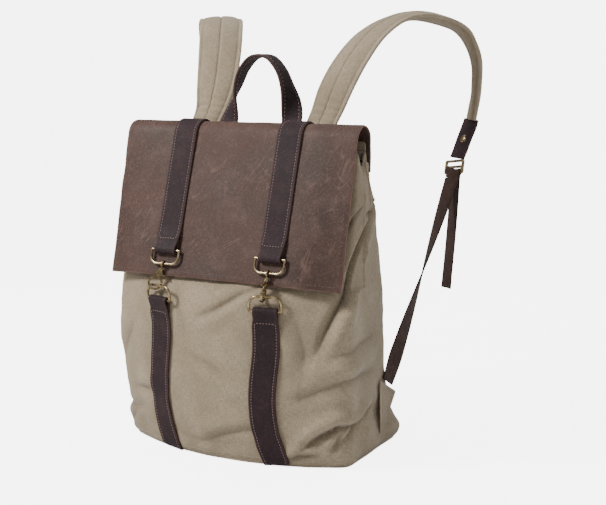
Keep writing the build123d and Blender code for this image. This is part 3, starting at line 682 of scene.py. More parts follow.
# Distance along each row from the front's left corner
columns = body.shape[1]
step = np.linalg.norm(np.roll(body, -1, 1) - body, axis=-1)
run_u = np.cumsum(step, axis=1) - step
around = step.sum(axis=1, keepdims=True)
# x-like coordinate: the front's x, then arc length beyond each front corner
corner_right = PER_SIDE[0]
fold_u = np.where(
    np.arange(columns)[None, :] <= corner_right,
    body[..., 0],
    body[:, corner_right : corner_right + 1, 0] + run_u - run_u[:, corner_right : corner_right + 1],
)
left_start = PER_SIDE[0] + PER_SIDE[1] + PER_SIDE[2]
left_u = body[:, :1, 0] - (around - run_u)
fold_u = np.where(np.arange(columns)[None, :] >= left_start, left_u, fold_u)
height = body[..., 2]

shift = np.zeros(height.shape)
crease_shade = np.zeros(height.shape)
for path, depth, ridge, half, ridge_side in FOLDS:
    dist, side, along = distance_to_path(fold_u, height, path)
    taper = np.sin(np.pi * np.clip(along * 0.94 + 0.03, 0, 1)) ** 0.6
    valley = 0.55 * bell(dist / (0.8 * half)) + 0.45 * np.exp(-dist / (0.55 * half))
    hump = np.clip(side * ridge_side, 0, 1) * bell((dist - 2.2 * half) / (1.35 * half))
    shift += (-1.35 * depth * valley + 1.3 * ridge * hump) * taper
    # Depth of each fold valley, kept as the mask for painted shade in the creases
    crease_shade = np.maximum(crease_shade, valley**1.8 * taper * np.clip(depth / 5, 0, 1))

# Cloth fullness: low broad swells, finer puckers low down and round the corners
fade_top = np.clip((355 - height) / 60, 0, 1)
low = np.clip((90 - height) / 90, 0, 1)
stretched = body * np.array([1.0, 1.0, 0.55])
shift += ripple(stretched, 105, 3) * 1.8 * fade_top
shift += ripple(stretched, 46, 5) * (0.60 + 0.95 * low) * fade_top
shift += ripple(body * np.array([0.6, 0.6, 1.2]), 24, 8) * (0.20 + 0.34 * low) * fade_top
# The front bellies over the base and pinches in a little above it
by_side = np.where(fold_u < 0, 0.3, 1.0)
shift += 2.2 * bell((height - 22) / 16) * np.clip(np.abs(fold_u) / 110 - 0.5, 0, 1) * by_side
shift -= 3.4 * bell((height - 42) / 13) * np.clip(np.abs(fold_u) / 110 - 0.55, 0, 1) * by_side
shift += 3.0 * bell((height - 120) / 60) * bell((np.abs(fold_u) - 150) / 26)
# Strap channels stay flat: less movement beneath the two straps and at the base
strap_near = bell((np.abs(fold_u) - 69) / 15) * (np.abs(body[..., 1] + 100) < 30)
shift *= 1 - 0.75 * strap_near
shift *= np.clip(height / 14, 0, 1) * np.clip((356 - height) / 10, 0.0, 1)
back_face = (body[..., 1] > np.interp(height, [0, 214, 355], [52, 12, -22])) & (np.abs(body[..., 0]) < 138)
shift = np.where(back_face, np.clip(shift, -1.2, 0.6) * 0.6, shift)
# Beneath the flap the cloth stays clear of the leather
under_flap = np.clip((height - 205) / 12, 0, 1) * (body[..., 1] < -30)
shift = np.where(under_flap > 0, np.minimum(shift, 0.4), shift)

skin = body + outward * shift[..., None]
side_share = np.concatenate(
    [np.zeros(PER_SIDE[0]), np.linspace(0, 1, PER_SIDE[1]), np.zeros(PER_SIDE[2]), np.linspace(1, 0, PER_SIDE[3])]
)
dip = 17.0 * bell((side_share - 0.42) / 0.20) * (side_share > 0)
dip = np.clip((height - 300) / 55, 0, 1) ** 1.5 * dip[None, :]
skin[..., 2] -= dip
skin_normal = outward_normals(skin)
inner = skin - skin_normal * BODY_THICK
inner[..., 2] = np.maximum(inner[..., 2], 2.8)

rows_n = len(ROW_HEIGHTS)
rim = (skin[-1] + inner[-1]) / 2 + np.array([0, 0, 0.9])
body_points = np.concatenate([skin.reshape(-1, 3), rim, inner[::-1].reshape(-1, 3)])
body_faces = grid_faces(2 * rows_n + 1, columns, True)
seam_u = np.concatenate([fold_u, fold_u[-1:], fold_u[::-1]]).reshape(-1)
seam_v = np.concatenate([height, height[-1:] + 1, 2 * 356 - height[::-1]]).reshape(-1)
ridge_wear = np.clip(shift / 5, 0, 1) * 0.10
wear_all = np.concatenate([ridge_wear.ravel(), np.full(columns, 0.5), np.zeros(rows_n * columns)])
# Painted shade: darker in the fold valleys, and a little darker over the whole inside face of the canvas
painted_shade_all = np.concatenate([(crease_shade * 0.85).ravel(), np.zeros(columns), np.full(rows_n * columns, 0.15)])
canvas_body = make_object(
    "canvas_body", body_points * MM, body_faces, [CANVAS],
    uvs=np.stack([seam_u, seam_v], -1) * MM, attributes={"wear": wear_all, "painted_shade": painted_shade_all},
)
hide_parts("front_panel", "gusset_left", "gusset_right")
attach(canvas_body, "bag")


def on_skin(u, z, lift=0.0):
    """Points and normals on the finished front and side canvas at fold coordinates (mm)."""
    u, z = np.broadcast_arrays(np.asarray(u, float), np.asarray(z, float))
    order = list(range(left_start, columns)) + list(range(left_start - PER_SIDE[2]))
    found = {"points": [], "normals": []}
    for across, up in zip(u.ravel(), z.ravel()):
        at = np.interp(up, ROW_HEIGHTS, np.arange(rows_n))
        low = min(int(at), rows_n - 2)
        for key, grid in (("points", skin), ("normals", skin_normal)):
            lower, upper = [
                np.array([np.interp(across, fold_u[row, order], grid[row, order, k]) for k in range(3)])
                for row in (low, low + 1)
            ]
            found[key].append(lower * (1 - at + low) + upper * (at - low))
    normals = unit(np.array(found["normals"]))
    return np.array(found["points"]) + normals * lift, normals


def side_x(y, z):
    """Half width of the canvas where its side is y back and z up, in mm."""
    row = int(np.argmin(np.abs(ROW_HEIGHTS - z)))
    side_columns = slice(corner_right - 6, corner_right + PER_SIDE[1])
    return float(np.interp(y, skin[row, side_columns, 1], skin[row, side_columns, 0]))


def finish_piece(piece, slot, body, *nodes):
    """Hides the CAD nodes that the piece stands for and attaches it to its body, or bakes its transform where the
    body is not a name; the finish given is not used.
    """
    if nodes:
        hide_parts(*nodes)
    if isinstance(body, str):
        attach(piece, body)
    else:
        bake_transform(piece)
    return piece


def sew(name, runs, slot, body, material=None, **options):
    """Stitch rows as a finished piece."""
    finish_piece(stitches(name, runs, material, **options), slot, body)


# ------------------------------------------------------------------ base, mouth, back and inside of the bag
bottom_ring = skin[0] * [1, 1, 0] + [0, 0, 2.2]
base = patch("canvas_base", bottom_ring, (0, 0, 1), 3.8, [CANVAS], wave=0.12, seed=4)
finish_piece(base, "canvas", "bag", "bottom_panel")


def ring_band(name, outer_rows, inner_rows, materials):
    """A closed band from rings of points, round the whole bag: down the outside and up the inside."""
    rings = np.concatenate([outer_rows, inner_rows[::-1], outer_rows[:1]])
    cols = rings.shape[1]
    closed = rings[:-1]
    faces = grid_faces(len(rings) - 1, cols, True)
    last = (len(closed) - 1) * cols
    c = np.arange(cols)
    faces = np.concatenate([faces, np.stack([last + c, last + (c + 1) % cols, (c + 1) % cols, c], -1)])
    u = np.broadcast_to(fold_u[-1], closed.shape[:2])
    uv = np.stack([u, closed[..., 2]], -1).reshape(-1, 2) * MM
    return make_object(name, closed.reshape(-1, 3) * MM, faces, materials, uvs=uv)


hem_rows = slice(rows_n - 8, rows_n)
hem_out = inner[hem_rows] - skin_normal[hem_rows] * 0.15
hem_in = inner[hem_rows] - skin_normal[hem_rows] * 1.35
mouth_hem = ring_band("mouth_hem", hem_out, hem_in, [CANVAS_EDGE])
finish_piece(mouth_hem, "canvas", "bag", "front_hem")

back_strip = outline_of([(-146, -15.6, 349), (146, -15.6, 349), (146, -15.7, 365), (-146, -15.7, 365)])
back_top = patch("canvas_back_top", back_strip, (0, 1, 0), 1.5, [CANVAS])
finish_piece(back_top, "canvas", "bag", "back_panel", "back_hem")

lining_picks = list(range(5, rows_n - 9, 3))
behind = np.zeros(columns)
behind[PER_SIDE[0] + PER_SIDE[1] + 4 : left_start - 4] = 1
behind = np.convolve(np.concatenate([behind[-6:], behind, behind[:6]]), np.ones(13) / 13, "valid")
lining_gap = (2.2 + 5.8 * behind)[None, :, None]
lining_out = skin[lining_picks] - skin_normal[lining_picks] * lining_gap
lining_in = lining_out - skin_normal[lining_picks] * 0.8
lining_out[..., 2] = lining_in[..., 2] = (height - dip)[lining_picks]
floor_centre = lining_out[0].mean(0)
floors = []
for z, scales in ((6.8, (0.05, 0.3, 0.6, 0.9, 0.985)), (7.6, (0.985, 0.9, 0.6, 0.3, 0.05))):
    floors.append([(floor_centre + (lining_out[0] - floor_centre) * f) * [1, 1, 0] + [0, 0, z] for f in scales])
lining_rings = np.concatenate([np.array(floors[0]), lining_out, lining_in[::-1], np.array(floors[1])])
lining_faces = [list(q) for q in grid_faces(len(lining_rings), columns, True)]
lining_size = len(lining_rings) * columns
lining_faces += [list(range(columns)), list(range(lining_size - columns, lining_size))]
lining_uv = np.stack([np.broadcast_to(fold_u[60], lining_rings.shape[:2]), lining_rings[..., 2]], -1)
lining_uv = lining_uv.reshape(-1, 2) * MM
lining = make_object("lining_cloth", lining_rings.reshape(-1, 3) * MM, lining_faces, [LINING], uvs=lining_uv)
finish_piece(lining, "lining", "bag", "lining")

NODES["base_board"].data.materials.clear()
NODES["base_board"].data.materials.append(BOARD)

# Foam sheet inside the back, between the canvas and the lining
FOAM_HALF_WIDTH, FOAM_BEHIND_SKIN = 131, 4.7
foam_levels = smooth_rows(np.linspace(64, 296, 24), BODY_LEVELS)
foam_across = np.linspace(-1, 1, 40)
foam_mid = np.array(
    [[(t * FOAM_HALF_WIDTH, back - FOAM_BEHIND_SKIN, z) for t in foam_across] for z, _, back, _, _ in foam_levels]
)
foam_edge = np.minimum(
    ((1 - np.abs(foam_across)) * FOAM_HALF_WIDTH)[None, :],
    np.minimum(foam_levels[:, 0] - 62, 298 - foam_levels[:, 0])[:, None],
)
foam_half = 2.3 * np.sqrt(np.clip(foam_edge / 7, 0.03, 1)) + 0.12 * ripple(foam_mid, 30, 21)
foam_shift = np.zeros_like(foam_mid)
foam_shift[..., 1] = foam_half
foam_points, foam_faces, _ = closed_sheet(foam_mid + foam_shift, foam_mid - foam_shift)
back_foam = make_object("foam_sheet", foam_points * MM, foam_faces, [FOAM])
finish_piece(back_foam, "foam", "bag", "back_foam")

# Yoke across the back, over the feet of the handle and the pads
yoke_outline = outline_of([(-104, -8.7, 324), (104, -8.7, 324), (104, -8.7, 362), (-104, -8.7, 362)], 2.0, 2.2)
yoke = patch("leather_yoke", yoke_outline, (0, 1, 0), 6.8, [FLAP_LEATHER], edge_wear=0.5)
finish_piece(yoke, "flap_leather", "bag", "back_yoke")
yoke_corners = [(-99.5, -5.2, 328.5), (99.5, -5.2, 328.5), (99.5, -5.2, 357.5), (-99.5, -5.2, 357.5)]
yoke_line = outline_of(yoke_corners, 1.5, 2.0)
yoke_run = np.concatenate([yoke_line, yoke_line[:1]])
sew("yoke_stitches", [(yoke_run, np.tile([0, 1.0, 0], (len(yoke_run), 1)))], "flap_leather", "bag")

# ------------------------------------------------------------------ seams and tabs on the canvas
seam_heights = np.array([232, 220, 204, 186, 165, 138, 115, 95, 70, 45, 26, 12])
seam_across = np.array([159, 164, 171, 184, 200, 219, 222, 223, 221, 218, 220, 222])
fine_heights = np.linspace(12, 232, 90)
fine_across = np.interp(fine_heights, seam_heights[::-1], seam_across[::-1])
seam_runs = []
for sign in (-1, 1):
    seam_runs.append(on_skin(sign * fine_across, fine_heights))
    seam_runs.append(on_skin(sign * (fine_across - 6), fine_heights))
base_across = np.linspace(-215, 215, 260)
seam_runs.append(on_skin(base_across, np.full(len(base_across), 9.5)))
mouth_across = np.linspace(-205, 205, 260)
seam_runs.append(on_skin(mouth_across, np.full(len(mouth_across), 343.0)))
sew("canvas_stitches", seam_runs, "canvas", "bag", THREAD_PALE, pitch=3.4, length=2.3, radius=0.3, lift=0.0)

for side, sign in SIDES:
    # Folded triangle of canvas that holds the foot of the webbing
    corners = [(sign * 150.0, y, z) for y, z in ((21, 84), (67, 60.5), (25, 17))]
    outline = outline_of(corners, 1.5, 1.6)
    tab = patch(f"corner_patch_{side}", outline, (1, 0, 0), 2.6, [CANVAS], wave=0.25, edge_wear=0.7)
    finish_piece(tab, "canvas", "bag", f"corner_tab_{side}")
    inset = [(sign * 151.4, y, z) for y, z in ((24.5, 78.5), (59, 61), (26.3, 26))]
    line = outline_of(inset, 1.2, 1.2)
    line = np.concatenate([line, line[:1]])
    runs = [(line, np.tile([sign * 1.0, 0, 0], (len(line), 1)))]
    sew(f"corner_stitches_{side}", runs, "canvas", "bag", THREAD_PALE, pitch=3.2, length=2.2, radius=0.3)
    # Short canvas band at the side of the mouth, with a bartack at each end
    corners = [(0.0, y, z) for y, z in ((-24, 343), (-12, 341), (4.5, 299), (-8, 293))]
    band_line = outline_of(corners, 1.5, 1.2)
    band_line[:, 0] = [sign * (side_x(y, z) + 0.7) for _, y, z in band_line]
    band = patch(f"side_band_{side}", band_line, (1, 0, 0), 1.9, [CANVAS], wave=0.2, edge_wear=0.6)
    finish_piece(band, "canvas", "bag", f"side_tab_{side}")
    tacks = []
    for (y0, z0), (y1, z1) in (((-22, 339.5), (-12.5, 338)), ((-5.5, 298.5), (2.5, 301.5))):
        for step_up in (0, 1.1, 2.2):
            ends = np.linspace((0.0, y0, z0 - step_up), (0.0, y1, z1 - step_up), 6)
            ends[:, 0] = [sign * (side_x(y, z) + 1.7) for _, y, z in ends]
            tacks.append((ends, np.tile([sign * 1.0, 0, 0], (6, 1))))
    sew(f"side_tacks_{side}", tacks, "canvas", "bag", THREAD_PALE, pitch=1.6, length=1.5, radius=0.3)

# ------------------------------------------------------------------ flap
FOLD_CENTRE = np.array([0, -31.0, 365.5])
FOLD_R = 18.5
FLAP_HALF = 151.5
FLAP_DROP = 169.0
FLAP_BACK_END = 331.0
FLAP_THICK = 2.3
LEAN = np.radians(17.6)
DOWN = np.array([0, -np.sin(LEAN), -np.cos(LEAN)])
OUT = np.array([0, -np.cos(LEAN), np.sin(LEAN)])
ARC = np.pi - LEAN


def flap_path(distance, radius):
    """Point and outward normal on the flap's profile; distance 0 is where the flap leaves the fold, plus is down."""
    if distance >= 0:
        return FOLD_CENTRE + OUT * radius + DOWN * distance, OUT
    turned = -distance / radius
    if turned <= ARC:
        angle = ARC - turned
        normal = np.array([0, np.cos(angle), np.sin(angle)])
        return FOLD_CENTRE + normal * radius, normal
    normal = np.array([0, 1.0, 0])
    return FOLD_CENTRE + normal * radius + [0, 0, -(turned - ARC) * radius], normal


def flap_sag(x, drop):
    """How far the leather falls away at the sides and stands out in the middle, in mm, positive outwards."""
    t = np.clip(drop / FLAP_DROP, 0, 1)
    edge = np.clip((np.abs(x) - 87) / 64.5, 0, 1)
    middle = np.clip(1 - np.abs(x) / 51, 0, 1)
    return (-12.5 * edge**1.5 + 2.2 * middle**2 * (3 - 2 * middle)) * t**1.4


flap_x = np.linspace(-FLAP_HALF, FLAP_HALF, 150)
back_length = FOLD_R * ARC + (FOLD_CENTRE[2] - FLAP_BACK_END)
flap_s = np.concatenate([np.linspace(-back_length, 0, 74)[:-1], np.linspace(0, FLAP_DROP, 116)])
profile_points = np.array([flap_path(s, FOLD_R)[0] for s in flap_s])
profile_normals = np.array([flap_path(s, FOLD_R)[1] for s in flap_s])
flap_outer = profile_points[:, None, :] + np.stack([flap_x, 0 * flap_x, 0 * flap_x], -1)[None]
flap_n = np.broadcast_to(profile_normals[:, None, :], flap_outer.shape)
drops = np.broadcast_to(flap_s[:, None], flap_outer.shape[:2])
xs = np.broadcast_to(flap_x[None, :], flap_outer.shape[:2])
calm = 1 - bell((np.abs(xs) - 69) / 13)
wave = ripple(flap_outer * [1, 1, 0.7], 95, 31) * 0.7 * np.clip((drops + 20) / 70, 0, 1) * calm
wave += ripple(flap_outer, 30, 33) * 0.14 * np.clip((drops + 60) / 40, 0, 1)
curl = 1.6 * np.clip((np.abs(xs) - 128) / 23, 0, 1) ** 2 * np.clip((drops - 120) / 49, 0, 1)
lift = flap_sag(xs, drops) + wave + curl
rim = np.minimum(np.minimum(FLAP_HALF - np.abs(xs), FLAP_DROP - drops), drops + back_length)
round_off = 0.55 * (1 - np.clip(rim / 1.1, 0, 1)) ** 2
outer = flap_outer + flap_n * (lift - round_off)[..., None]
under = flap_outer + flap_n * (lift - FLAP_THICK + round_off * 0.6)[..., None]
# The cut edges wander by a fraction of a millimetre
edge_wander = np.zeros_like(outer)
edge_wander[..., 0] = np.sign(xs) * np.clip((np.abs(xs) / FLAP_HALF) ** 30, 0, 1) * ripple(outer, 34, 35) * 0.35
outer, under = outer + edge_wander, under + edge_wander
flap_rows, flap_cols = outer.shape[:2]
flap_points, flap_faces, rim_faces = closed_sheet(outer, under)
slots = [0] * (len(flap_faces) - rim_faces) + [1] * rim_faces
fold_wear = bell((drops + 26) / 15) * 0.13
edge_fade = np.clip(1 - rim / 1.6, 0, 1) * 0.75
flap = make_object(
    "flap_leather_sheet", flap_points * MM, flap_faces,
    [FLAP_LEATHER, EDGE_LEATHER], face_slots=slots,
    uvs=np.tile(np.stack([xs, drops], -1).reshape(-1, 2) * MM, (2, 1)),
    attributes={"wear": np.concatenate([np.maximum(fold_wear, edge_fade).ravel(), edge_fade.ravel()])},
)
FLAP_BEND = ("bag", "flap", (0, -12, 365), (0, -49, 371))
finish_piece(flap, "flap_leather", FLAP_BEND, "flap_panel", "flap_back_margin")


def on_flap(x, drop, lift_by=0.0):
    """Points and normals on the outer face of the flap."""
    x, drop = np.broadcast_arrays(np.asarray(x, float), np.asarray(drop, float))
    points = []
    for a, s in zip(x, drop):
        row = np.interp(s, flap_s, np.arange(flap_rows))
        col = np.interp(a, flap_x, np.arange(flap_cols))
        r0, c0 = min(int(row), flap_rows - 2), min(int(col), flap_cols - 2)
        dr, dc = row - r0, col - c0
        block = outer[r0 : r0 + 2, c0 : c0 + 2]
        above, below = block[:, 0] * (1 - dc) + block[:, 1] * dc
        points.append(above * (1 - dr) + below * dr)
    normals = np.array([flap_path(s, FOLD_R)[1] for s in drop])
    return np.array(points) + normals * lift_by, normals


EDGE_SEAM = 5.5
down_the_side = np.linspace(-20, FLAP_DROP - EDGE_SEAM, 150)
flap_runs = [on_flap(np.full(150, sign * (FLAP_HALF - EDGE_SEAM)), down_the_side) for sign in (-1, 1)]
along_the_bottom = np.linspace(-FLAP_HALF + EDGE_SEAM, FLAP_HALF - EDGE_SEAM, 300)
flap_runs.append(on_flap(along_the_bottom, np.full(300, FLAP_DROP - EDGE_SEAM)))
sew("flap_stitches", flap_runs, "flap_leather", FLAP_BEND, THREAD_DARK, pitch=4.2, length=2.7, radius=0.34, lift=0.0)

# ------------------------------------------------------------------ straps on the flap, looped round the upper rings
STRAP_X = 69.0
STRAP_WIDTH = 31.5
STRAP_THICK = 2.6
LOOP_WIDTH = 28.5
BAR_OUT = 4.35
BAR_DROP = 140.0
WRAP_R = 3.05
CROSS_UP = 13.0


def wrap_rows(bar, up, out, heading, reach=14.0):
    """Rows of a strap end: tucked behind, down, and round a ring's bar to its front."""
    rows = []
    for rise in np.linspace(reach, 0, 6):
        rows.append((*(bar - out * WRAP_R + up * rise), heading, LOOP_WIDTH, STRAP_THICK))
    for angle in np.radians(np.arange(20, 180, 20)):
        rows.append((*(bar + (-out * np.cos(angle) - up * np.sin(angle)) * WRAP_R), heading, LOOP_WIDTH, STRAP_THICK))
    return rows


RISE_OFFSETS = ((0, 7.4), (3.5, 6.7), (7, 5.3), (10, 4.4), (13, 4.05), (17, 3.6), (22, 2.5), (28, 1.75), (34, 1.5))


EDGE_STITCH = 0.84  # of the half width
CLIP_STITCH = {"pitch": 3.3, "length": 2.1, "radius": 0.32, "lift": 0.05}


def clip_strap_skin(channel_start, channel_end, waves, skew, depth, seed):
    """Pressed channels beneath the edge stitches, and a slight waviness along a clip strap."""

    def skin_of(s, t, face):
        channel = -0.28 * bell((np.abs(t) - EDGE_STITCH) / 0.06) * ((s > channel_start) & (s < channel_end))
        return channel + depth * np.sin(s * waves + t * skew + seed) * (1 - t**2)

    return skin_of


def loop_length():
    """Run of a strap end from its tucked tip to the row of stitches across it."""
    return 14 + np.pi * WRAP_R + CROSS_UP + 1.2


def strap_width_at(rise):
    return LOOP_WIDTH + (STRAP_WIDTH - LOOP_WIDTH) * float(np.clip((rise - 9) / 9, 0, 1))


for side, sign in SIDES:
    x = sign * STRAP_X
    bar = flap_path(BAR_DROP, FOLD_R)[0] + OUT * BAR_OUT + [x, 0, 0]
    rows = wrap_rows(bar, -DOWN, OUT, 0.0)
    for rise, offset in RISE_OFFSETS:
        at = flap_path(BAR_DROP - rise, FOLD_R)[0] + OUT * offset + [x, 0, 0]
        rows.append((*at, 0.0, strap_width_at(rise), STRAP_THICK))
    for distance in list(np.arange(96, -1, -10.0)) + list(np.arange(-6, -back_length + 31, -4.0)):
        on_top = flap_path(distance * (FOLD_R + 1.4) / FOLD_R if distance < 0 else distance, FOLD_R + 1.4)[0]
        rows.append((*(on_top + [x, 0, 0]), 0.0, STRAP_WIDTH, STRAP_THICK))
    strap, grid = sweep(
        f"flap_strap_leather_{side}", rows, 27, [STRAP_LEATHER, DARK_EDGE], wear=0.35, samples=330,
        extra=clip_strap_skin(0.19, 1.1, 61, 2.2, 0.10, 11 + sign),
    )
    finish_piece(strap, "strap_leather", FLAP_BEND, f"flap_strap_{side}", f"flap_strap_root_{side}")
    cross = loop_length() / grid["run"][-1]
    runs = [strap_run(grid, t, 1, cross, 0.985) for t in (-EDGE_STITCH, EDGE_STITCH)] + [cross_run(grid, cross)]
    sew(f"flap_strap_stitches_{side}", runs, "strap_leather", FLAP_BEND, **CLIP_STITCH)

# ------------------------------------------------------------------ lower straps, over the canvas to the base
STRAP_TURN = 13.68
LOWER_BARS = {"left": (-70.19, -109.0, 183.3), "right": (70.19, -109.0, 183.3)}
LOWER_HEIGHTS = (4.2, 7, 11, 18, 27, 38, 50, 64, 80, 97, 114, 128, 138)
for side, sign in SIDES:
    heading = sign * STRAP_TURN
    out = np.array([np.sin(np.radians(heading)), -np.cos(np.radians(heading)), 0])
    up = np.array([0, 0, 1.0])
    bar = np.array(LOWER_BARS[side])
    rows = []
    for z in LOWER_HEIGHTS:
        drift = sign * 69.5 - 6.5 * np.sin(np.pi * np.clip((z - 5) / 135, 0, 1)) ** 1.4 + 3.0 * bell((z - 4) / 14)
        (point,), (normal,) = on_skin([drift], [z], 1.65)
        blend_in = np.clip((z - 100) / 50, 0, 1)
        lean = np.degrees(np.arctan2(normal[0], -normal[1])) * (1 - blend_in) + heading * blend_in
        rows.append((*point, lean, STRAP_WIDTH, STRAP_THICK))
    for rise, offset in RISE_OFFSETS[::-1]:
        at = bar + out * (offset - BAR_OUT) - up * rise
        rows.append((*at, heading, strap_width_at(rise), STRAP_THICK))
    rows += wrap_rows(bar, -up, out, heading)[::-1]
    strap, grid = sweep(
        f"lower_strap_leather_{side}", rows, 27, [STRAP_LEATHER, DARK_EDGE], wear=0.35, samples=300,
        extra=clip_strap_skin(-0.1, 0.80, 47, 2.0, 0.12, 17 + sign),
    )
    finish_piece(strap, "strap_leather", "bag", f"lower_strap_{side}")
    cross = 1 - loop_length() / grid["run"][-1]
    runs = [strap_run(grid, t, 1, 0.01, cross) for t in (-EDGE_STITCH, EDGE_STITCH)] + [cross_run(grid, cross)]
    sew(f"lower_strap_stitches_{side}", runs, "strap_leather", "bag", **CLIP_STITCH)

# ------------------------------------------------------------------ brass
for name, node in NODES.items():
    if name.startswith(("upper_ring", "lower_ring", "hook_body", "trigger", "swivel_eye", "strap_buckle")):
        node.data.materials.clear()
        node.data.materials.append(BRASS)

# ------------------------------------------------------------------ grab handle
HANDLE_LEG = [
    (41.5, -6.5, 350.0, 0),
    (41.5, -6.5, 364.6, 0),
    (42.0, 4.5, 385, 8),
    (39.0, 9.0, 404, 45),
    (33.5, 9.5, 424, 78),
    (24.0, 9.5, 445, 88),
    (10.0, 9.5, 458, 90),
]
left_leg = [(-x, y, z, -turn, 25, 3.8) for x, y, z, turn in HANDLE_LEG]
right_leg = [(x, y, z, turn - 180, 25, 3.8) for x, y, z, turn in reversed(HANDLE_LEG)]


def handle_skin(s, t, face):
    return -0.3 * bell((np.abs(t) - 0.78) / 0.08) + 0.16 * np.sin(s * 83 + t * 3) * (1 - t**2)


handle, grid = sweep(
    "handle_leather", left_leg + right_leg, 23, [STRAP_LEATHER, DARK_EDGE], wear=0.4, samples=240, extra=handle_skin
)
HANDLE_BEND = ("bag", "handle", (0, -6.5, 364), (0, -3, 382))
finish_piece(handle, "strap_leather", HANDLE_BEND, "handle_strap")
runs = [strap_run(grid, t, face, 0.02, 0.98) for t in (-0.78, 0.78) for face in (-1, 1)]
sew("handle_stitches", runs, "strap_leather", HANDLE_BEND, pitch=4.4, length=2.7, radius=0.34)

# ------------------------------------------------------------------ shoulder pads
PAD_ROUTE = [
    (77.5, -3.6, 360, 0, 40, 8.4),
    (77.5, -2.5, 368, 0, 40, 9.0),
    (78.2, 10.0, 383, -1.5, 40.5, 9.5),
    (79, 22, 396, -4, 43, 11),
    (82, 37, 420, -10, 50, 11),
    (91, 60, 454, -16, 54, 11),
    (106, 89, 486, -24, 55, 11),
    (126, 123, 505, -32, 55, 11),
    (157, 165, 504, -45, 54, 11),
    (179, 198, 488, -54, 53, 11),
    (190, 214, 455, -60, 52, 11),
    (190, 218, 418, -62, 48, 11),
    (185, 216, 381, -58, 41, 10),
]


def pad_profile(t):
    """Half thickness across a pad: a thin stitched rim, a full body and a shallow channel on the centre line."""
    body_part = 0.42 + 0.60 * (1 - np.clip(np.abs(t) / 0.90, 0, 1) ** 3.4)
    return body_part - 0.27 * bell(t / 0.05) - 0.10 * bell((np.abs(t) - 0.90) / 0.03)


for side, sign in SIDES:
    rows = [(sign * x, y, z, sign * turn, width, thick) for x, y, z, turn, width, thick in PAD_ROUTE]

    def pad_skin(s, t, face, seed=sign):
        rng = np.random.default_rng(50 + seed)
        puckers = np.zeros_like(s)
        for _ in range(16):
            at, width, lean = rng.uniform(0.02, 0.98), rng.uniform(0.006, 0.016), rng.uniform(-0.03, 0.03)
            edge = rng.choice([-1, 1])
            puckers += bell((s - at - lean * t) / width) * np.clip(edge * t, 0, 1) ** 1.3 * rng.uniform(0.5, 1.3)
        front = bell((s - 0.09) / 0.05) * np.sin((s - 0.04) * 240 + 2.0 * t) * 0.55
        swell = 0.35 * np.sin(s * 23 + 2.1 * t + seed) + 0.2 * np.sin(s * 51 - 3.0 * t)
        inside = np.where(face < 0, 0.5, 1.0)
        return (-puckers + front + swell) * inside * np.clip((1 - np.abs(t)) * 6, 0, 1)

    pad, grid = sweep(
        f"pad_canvas_{side}", rows, 61, [CANVAS], wear=0.25, samples=420, profile=pad_profile, extra=pad_skin
    )
    pad_bend = ("bag", f"shoulder_{side}", (sign * 78, 2, 372), (sign * 80, 32, 412))
    finish_piece(pad, "canvas", pad_bend, f"shoulder_pad_{side}", f"shoulder_pad_root_{side}")
    runs = [strap_run(grid, t, 1, 0.03, 0.985) for t in (-0.91, -0.075, 0.075, 0.91)]
    runs += [cross_run(grid, 0.975, 1, 0.9), cross_run(grid, 0.985, 1, 0.9)]
    sew(f"pad_stitches_{side}", runs, "canvas", pad_bend, THREAD_PALE, pitch=3.3, length=2.3, radius=0.3, lift=-0.05)

    # Leather tab from the pad down to the buckle
    tab_rows = [
        (sign * x, y, z, sign * turn, width, 3.2)
        for x, y, z, turn, width in (
            (185.3, 215.6, 381.5, -30, 27), (184.3, 214.5, 376.5, -28, 27), (179, 208.4, 357, -28, 27),
            (175.2, 203.9, 342, -28, 26.5), (172.8, 200.6, 333, -28, 26),
        )
    ]
    tab, grid = sweep(f"tab_leather_{side}", tab_rows, 23, [STRAP_LEATHER, DARK_EDGE], wear=0.4, samples=80)
    finish_piece(tab, "strap_leather", f"shoulder_{side}", f"strap_tab_{side}")
    runs = [strap_run(grid, t, 1, 0.12, 0.96) for t in (-0.78, 0.78)] + [cross_run(grid, 0.15), cross_run(grid, 0.9)]
    sew(f"tab_stitches_{side}", runs, "strap_leather", f"shoulder_{side}", pitch=4.0, length=2.5, radius=0.34)
    rivet_row = 40
    centre, axis = grid["centre"][rivet_row], grid["out"][rivet_row]
    for face, suffix in ((1, "front"), (-1, "back")):
        base_at = centre + axis * face * 1.5
        rings = [(5.2, 0.0), (5.2, 0.5), (4.7, 0.95), (3.4, 1.5), (1.8, 1.85), (0.15, 2.0)]
        spread = unit(grid["across"][rivet_row])
        other = np.cross(axis, spread)
        turns = np.arange(24) * np.pi / 12
        verts = [
            base_at + (spread * np.cos(a) + other * np.sin(a)) * r + axis * face * h for r, h in rings for a in turns
        ]
        faces = [list(q) for q in grid_faces(len(rings), 24, True)] + [list(range(24))[::-1]]
        rivet = make_object(f"rivet_{suffix}_{side}", np.array(verts) * MM, faces, [BRASS])
        finish_piece(rivet, "brass", f"shoulder_{side}")

